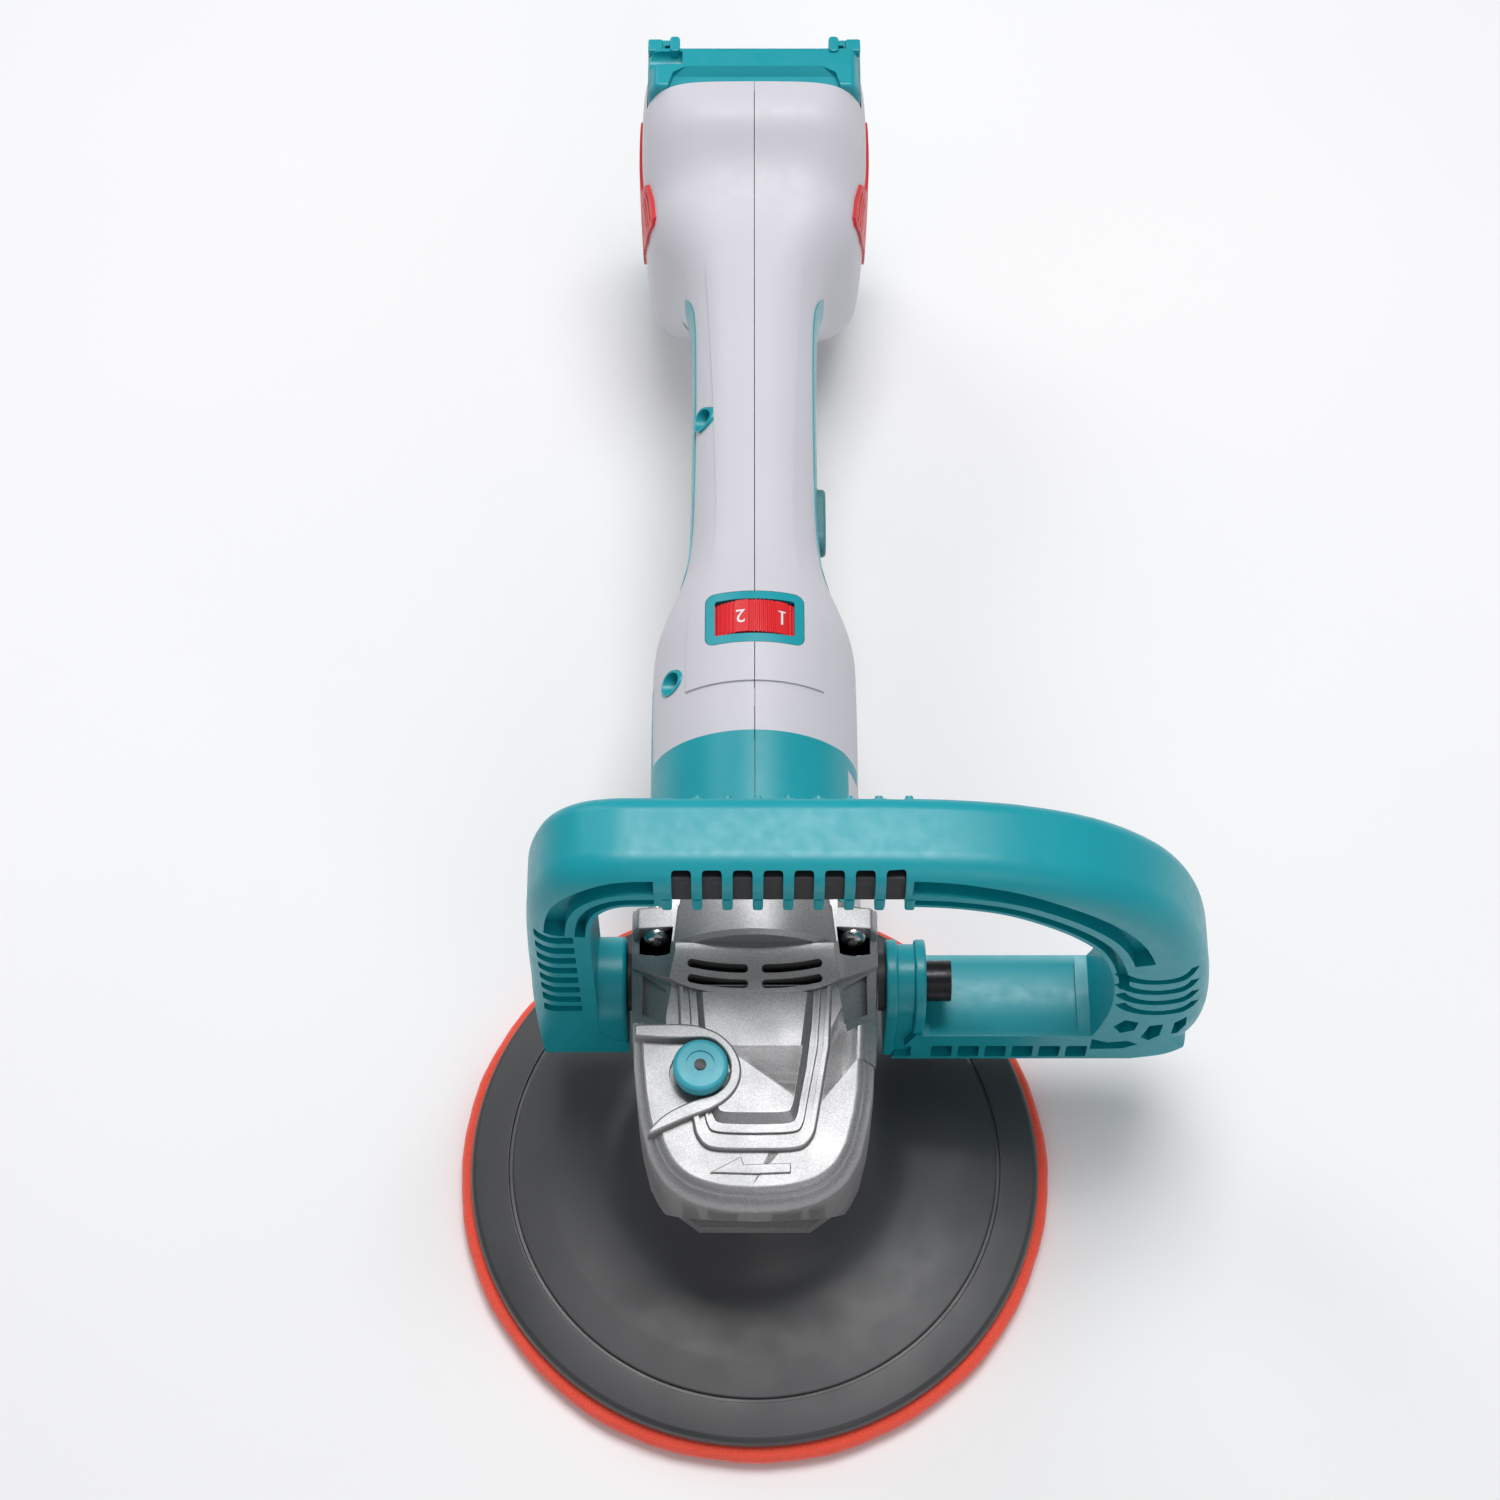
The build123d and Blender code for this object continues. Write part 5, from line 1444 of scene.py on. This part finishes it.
@dataclass
class SpeedControl:
    """Speed wheel with numbers and its bezel."""

    y: float = 141.5
    z: float = 95.6
    radius: float = 18.6
    width: float = 11.5
    step: float = 40.5
    first: float = 27.0
    teeth: int = 90

    def wheel_outline(self) -> list[Point]:
        """Ridged outline with smooth lands where the numbers stand."""
        points = []
        for i in range(self.teeth * 4):
            angle = math.radians(i * 360 / (self.teeth * 4))
            turn = math.degrees(angle)
            land = any(
                abs((turn - (90 - self.first + self.step * n) + 180) % 360 - 180) < 6.0 for n in range(6)
            )
            dip = 0.0 if land or i % 4 < 2 else 0.45
            r = self.radius - dip
            points.append((r * math.cos(angle), self.z + r * math.sin(angle)))
        return points

    def build(self, shop: Workshop) -> None:
        """Models the wheel, its numbers and the bezel."""
        half = self.width / 2
        wheel = prism("speed_wheel", self.wheel_outline(), self.y - half, self.y + half, Along.Y)
        combine(wheel, cylinder("hub", (0, self.y, self.z), 3.1, 40, Along.Y))
        shop.fit(smooth(bevel(wheel, 0.35, 2, 60), 30), Part.DIAL, "red_plastic", ["speed_dial"])
        digits = []
        for n in range(6):
            turn = math.radians(self.first - self.step * n)
            clear_selection()
            bpy.ops.object.text_add(location=(0, 0, 0))
            text = bpy.context.active_object
            text.data.body = str(n + 1)
            text.data.size = 6.6 * MM
            text.data.extrude = 0.12 * MM
            text.data.align_x, text.data.align_y = "CENTER", "CENTER"
            bpy.ops.object.convert(target="MESH")
            digit = new_piece("digit")
            stand = Matrix.Translation(Vector((0, self.y, self.z)) * MM) @ Matrix.Rotation(turn, 4, "Y")
            lift = Matrix.Translation((0, 0, (self.radius + 0.06) * MM)) @ Matrix.Rotation(math.pi, 4, "Z")
            digit.matrix_world = stand @ lift
            digits.append(settle(digit))
            if n == 0:
                foot = prism(
                    "digit_foot", [(-1.2, -2.2), (1.2, -2.2), (1.2, -1.75), (-1.2, -1.75)], 0, 0.12, Along.Z
                )
                foot.matrix_world = stand @ lift
                digits.append(settle(foot))
        numbers = face_out(join("wheel_numbers", digits))
        shop.fit(numbers, Part.DIAL, "red_plastic", finish="ink_white")
        casing = Casing()
        bezel = casing.patch("dial_bezel_moulded", 0.75, 2.6,
                             prism("rim", rounded(30.6, 18.6, 2.9, 6, (0, self.y)), 95, 125, Along.Z))
        combine(bezel, prism("opening", rounded(24.8, 12.7, 0.7, 3, (0, self.y)), 90, 125, Along.Z))
        shop.fit(smooth(bevel(bezel, 0.35, 3, 40), 30), Part.BODY, "teal_plastic", ["dial_bezel"])


# ---------------------------------------------------------------- battery end


@dataclass
class BatteryEnd:
    """Teal end frame with rails, corner lips and a screw well."""

    front: float = 344.0
    rear: float = 361.0
    low: float = 13.8
    high: float = 122.3

    def build(self, shop: Workshop) -> None:
        """Models the end frame."""
        half = 36.2
        outline = [(half - 4, self.low), (half, self.low + 4), (half, self.high - 5), (half - 2.6, self.high),
                   (half - 6, self.high)]
        outline = outline + [(-x, z) for x, z in reversed(outline)]
        frame = prism("battery_frame_moulded", outline, self.front + 0.1, self.rear, Along.Y)
        bevel(frame, 1.3, 3, 30)
        combine(
            frame,
            prism("terminal", rounded(36.4, 42.4, 2, 4, (0, 70)), self.front - 2, self.rear + 4, Along.Y)
        )
        slope = [(self.front - 1, 119.4), (350.0, 119.8), (352.8, 122.4), (352.8, 130), (self.front - 1, 130)]
        wedge = prism("slope", slope, -40, 40, Along.X)
        span = [
            (-30, self.front - 2), (30, self.front - 2), (27.6, 350.0), (21.8, 353.4), (-21.8, 353.4),
            (-27.6, 350.0)
        ]
        combine(frame, combine(wedge, prism("span", span, 100, 140, Along.Z), "INTERSECT"))
        combine(frame, cylinder("well", (-33.4, 356.2, 121.2), 3.0, 18, Along.X))
        pieces = [frame]
        for hand in (1, -1):
            rail = [(hand * 30.5, self.rear - 1), (hand * 30.5, 363.6), (hand * 27.5, 363.6), (hand * 27.5, 366),
                    (hand * 34, 366), (hand * 34, self.rear - 1)]
            pieces.append(bevel(prism("rail", rail, 18, 120, Along.Z), 0.4, 2))
            lip = [(hand * 31.2, 108), (hand * 36.2, 104), (hand * 36.2, 121.6), (hand * 31.2, 121.6)]
            pieces.append(bevel(prism("lip", lip, self.rear - 1, 365.2, Along.Y), 0.6, 2))
            nub = prism("nub", rounded(3.4, 6.4, 1.2, 4, (hand * 27.0, 361.6)), 118, 123.4, Along.Z)
            pieces.append(bevel(nub, 0.5, 2))
        whole = join("battery_frame_moulded", pieces)
        shop.fit(smooth(whole, 34), Part.BODY, "teal_plastic", ["battery_frame"])


# ---------------------------------------------------------------- mechanical nodes and studio


class Mechanism:
    """The mechanical nodes that stay as they are and only get their finish."""

    def build(self, shop: Workshop) -> None:
        """Dresses every node with its slot's finish."""
        for entry in shop.frame["record"]["subparts"]:
            node = shop.frame["nodes"][entry["node"]]
            finish = "button_plastic" if entry["node"] == "spindle_lock_button" else entry["material_slot"]
            shop.palette.dress(node, finish)
            log.info("%s keeps its shape, finish %s", node.name, entry["material_slot"])


@dataclass
class Studio:
    """Pale floor, soft light and the camera."""

    camera_place: tuple[float, float, float] = (-0.00144, -0.3292, 0.9137)
    tilt: float = 27.9
    lens: float = 72.0

    def build(self) -> None:
        """Sets up the floor, the lights and the camera."""
        clear_selection()
        bpy.ops.mesh.primitive_plane_add(size=9.0, location=(0, 0, -0.0004))
        floor = new_piece("studio_floor")
        nodes = Nodes("studio_floor_paper")
        nodes.colour(
            nodes.between(nodes.spread(nodes.noise(3, 2), 0, 1), (0.90, 0.90, 0.91), (0.93, 0.93, 0.935))
        )
        nodes.roughness(nodes.spread(nodes.noise(40, 2), 0.85, 0.95))
        floor.data.materials.append(nodes.material)
        bpy.context.scene.view_settings.view_transform = "Standard"
        world = bpy.data.worlds.new("studio_air")
        bpy.context.scene.world = world
        world.use_nodes = True
        back = world.node_tree.nodes["Background"]
        back.inputs["Color"].default_value = (0.97, 0.98, 1.0, 1)
        back.inputs["Strength"].default_value = 0.34
        self.lamp("overhead_softbox", (0.12, 0.42, 1.65), 0.75, 17.5)
        self.lamp("rear_softbox", (-0.9, 1.2, 1.2), 0.7, 4.5)
        self.lamp("front_fill", (0.5, -1.2, 1.1), 0.9, 2.6)
        bpy.ops.object.camera_add(location=self.camera_place, rotation=(math.radians(self.tilt), 0, 0))
        camera = bpy.context.active_object
        camera.data.lens = self.lens
        camera.data.sensor_width = 36.0
        bpy.context.scene.camera = camera

    def lamp(self, name: str, place: tuple[float, float, float], size: float, power: float) -> None:
        """Adds a square softbox that faces the tool.

        Args:
            name: Name of the lamp.
            place: Where it hangs, in metres.
            size: Side of the square, in metres.
            power: Watts.
        """
        bpy.ops.object.light_add(type="AREA", location=place)
        lamp = bpy.context.active_object
        lamp.name = name
        lamp.data.shape = "SQUARE"
        lamp.data.size = size
        lamp.data.energy = power
        aim = Vector((0.0, 0.1, 0.06)) - Vector(place)
        lamp.rotation_euler = aim.to_track_quat("-Z", "Y").to_euler()


def main() -> None:
    """Builds the polisher's looks around the frame."""
    logging.basicConfig(level=logging.INFO, format="%(name)s: %(message)s")
    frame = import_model()
    Studio().build()
    shop = Workshop(frame, Palette())
    for assembly in (Mechanism(), Pad(), GearHead(), LoopHandle(), Casing(), SpeedControl(), BatteryEnd()):
        assembly.build(shop)
        log.info("%s done", type(assembly).__name__)


if __name__ == "__main__":
    main()
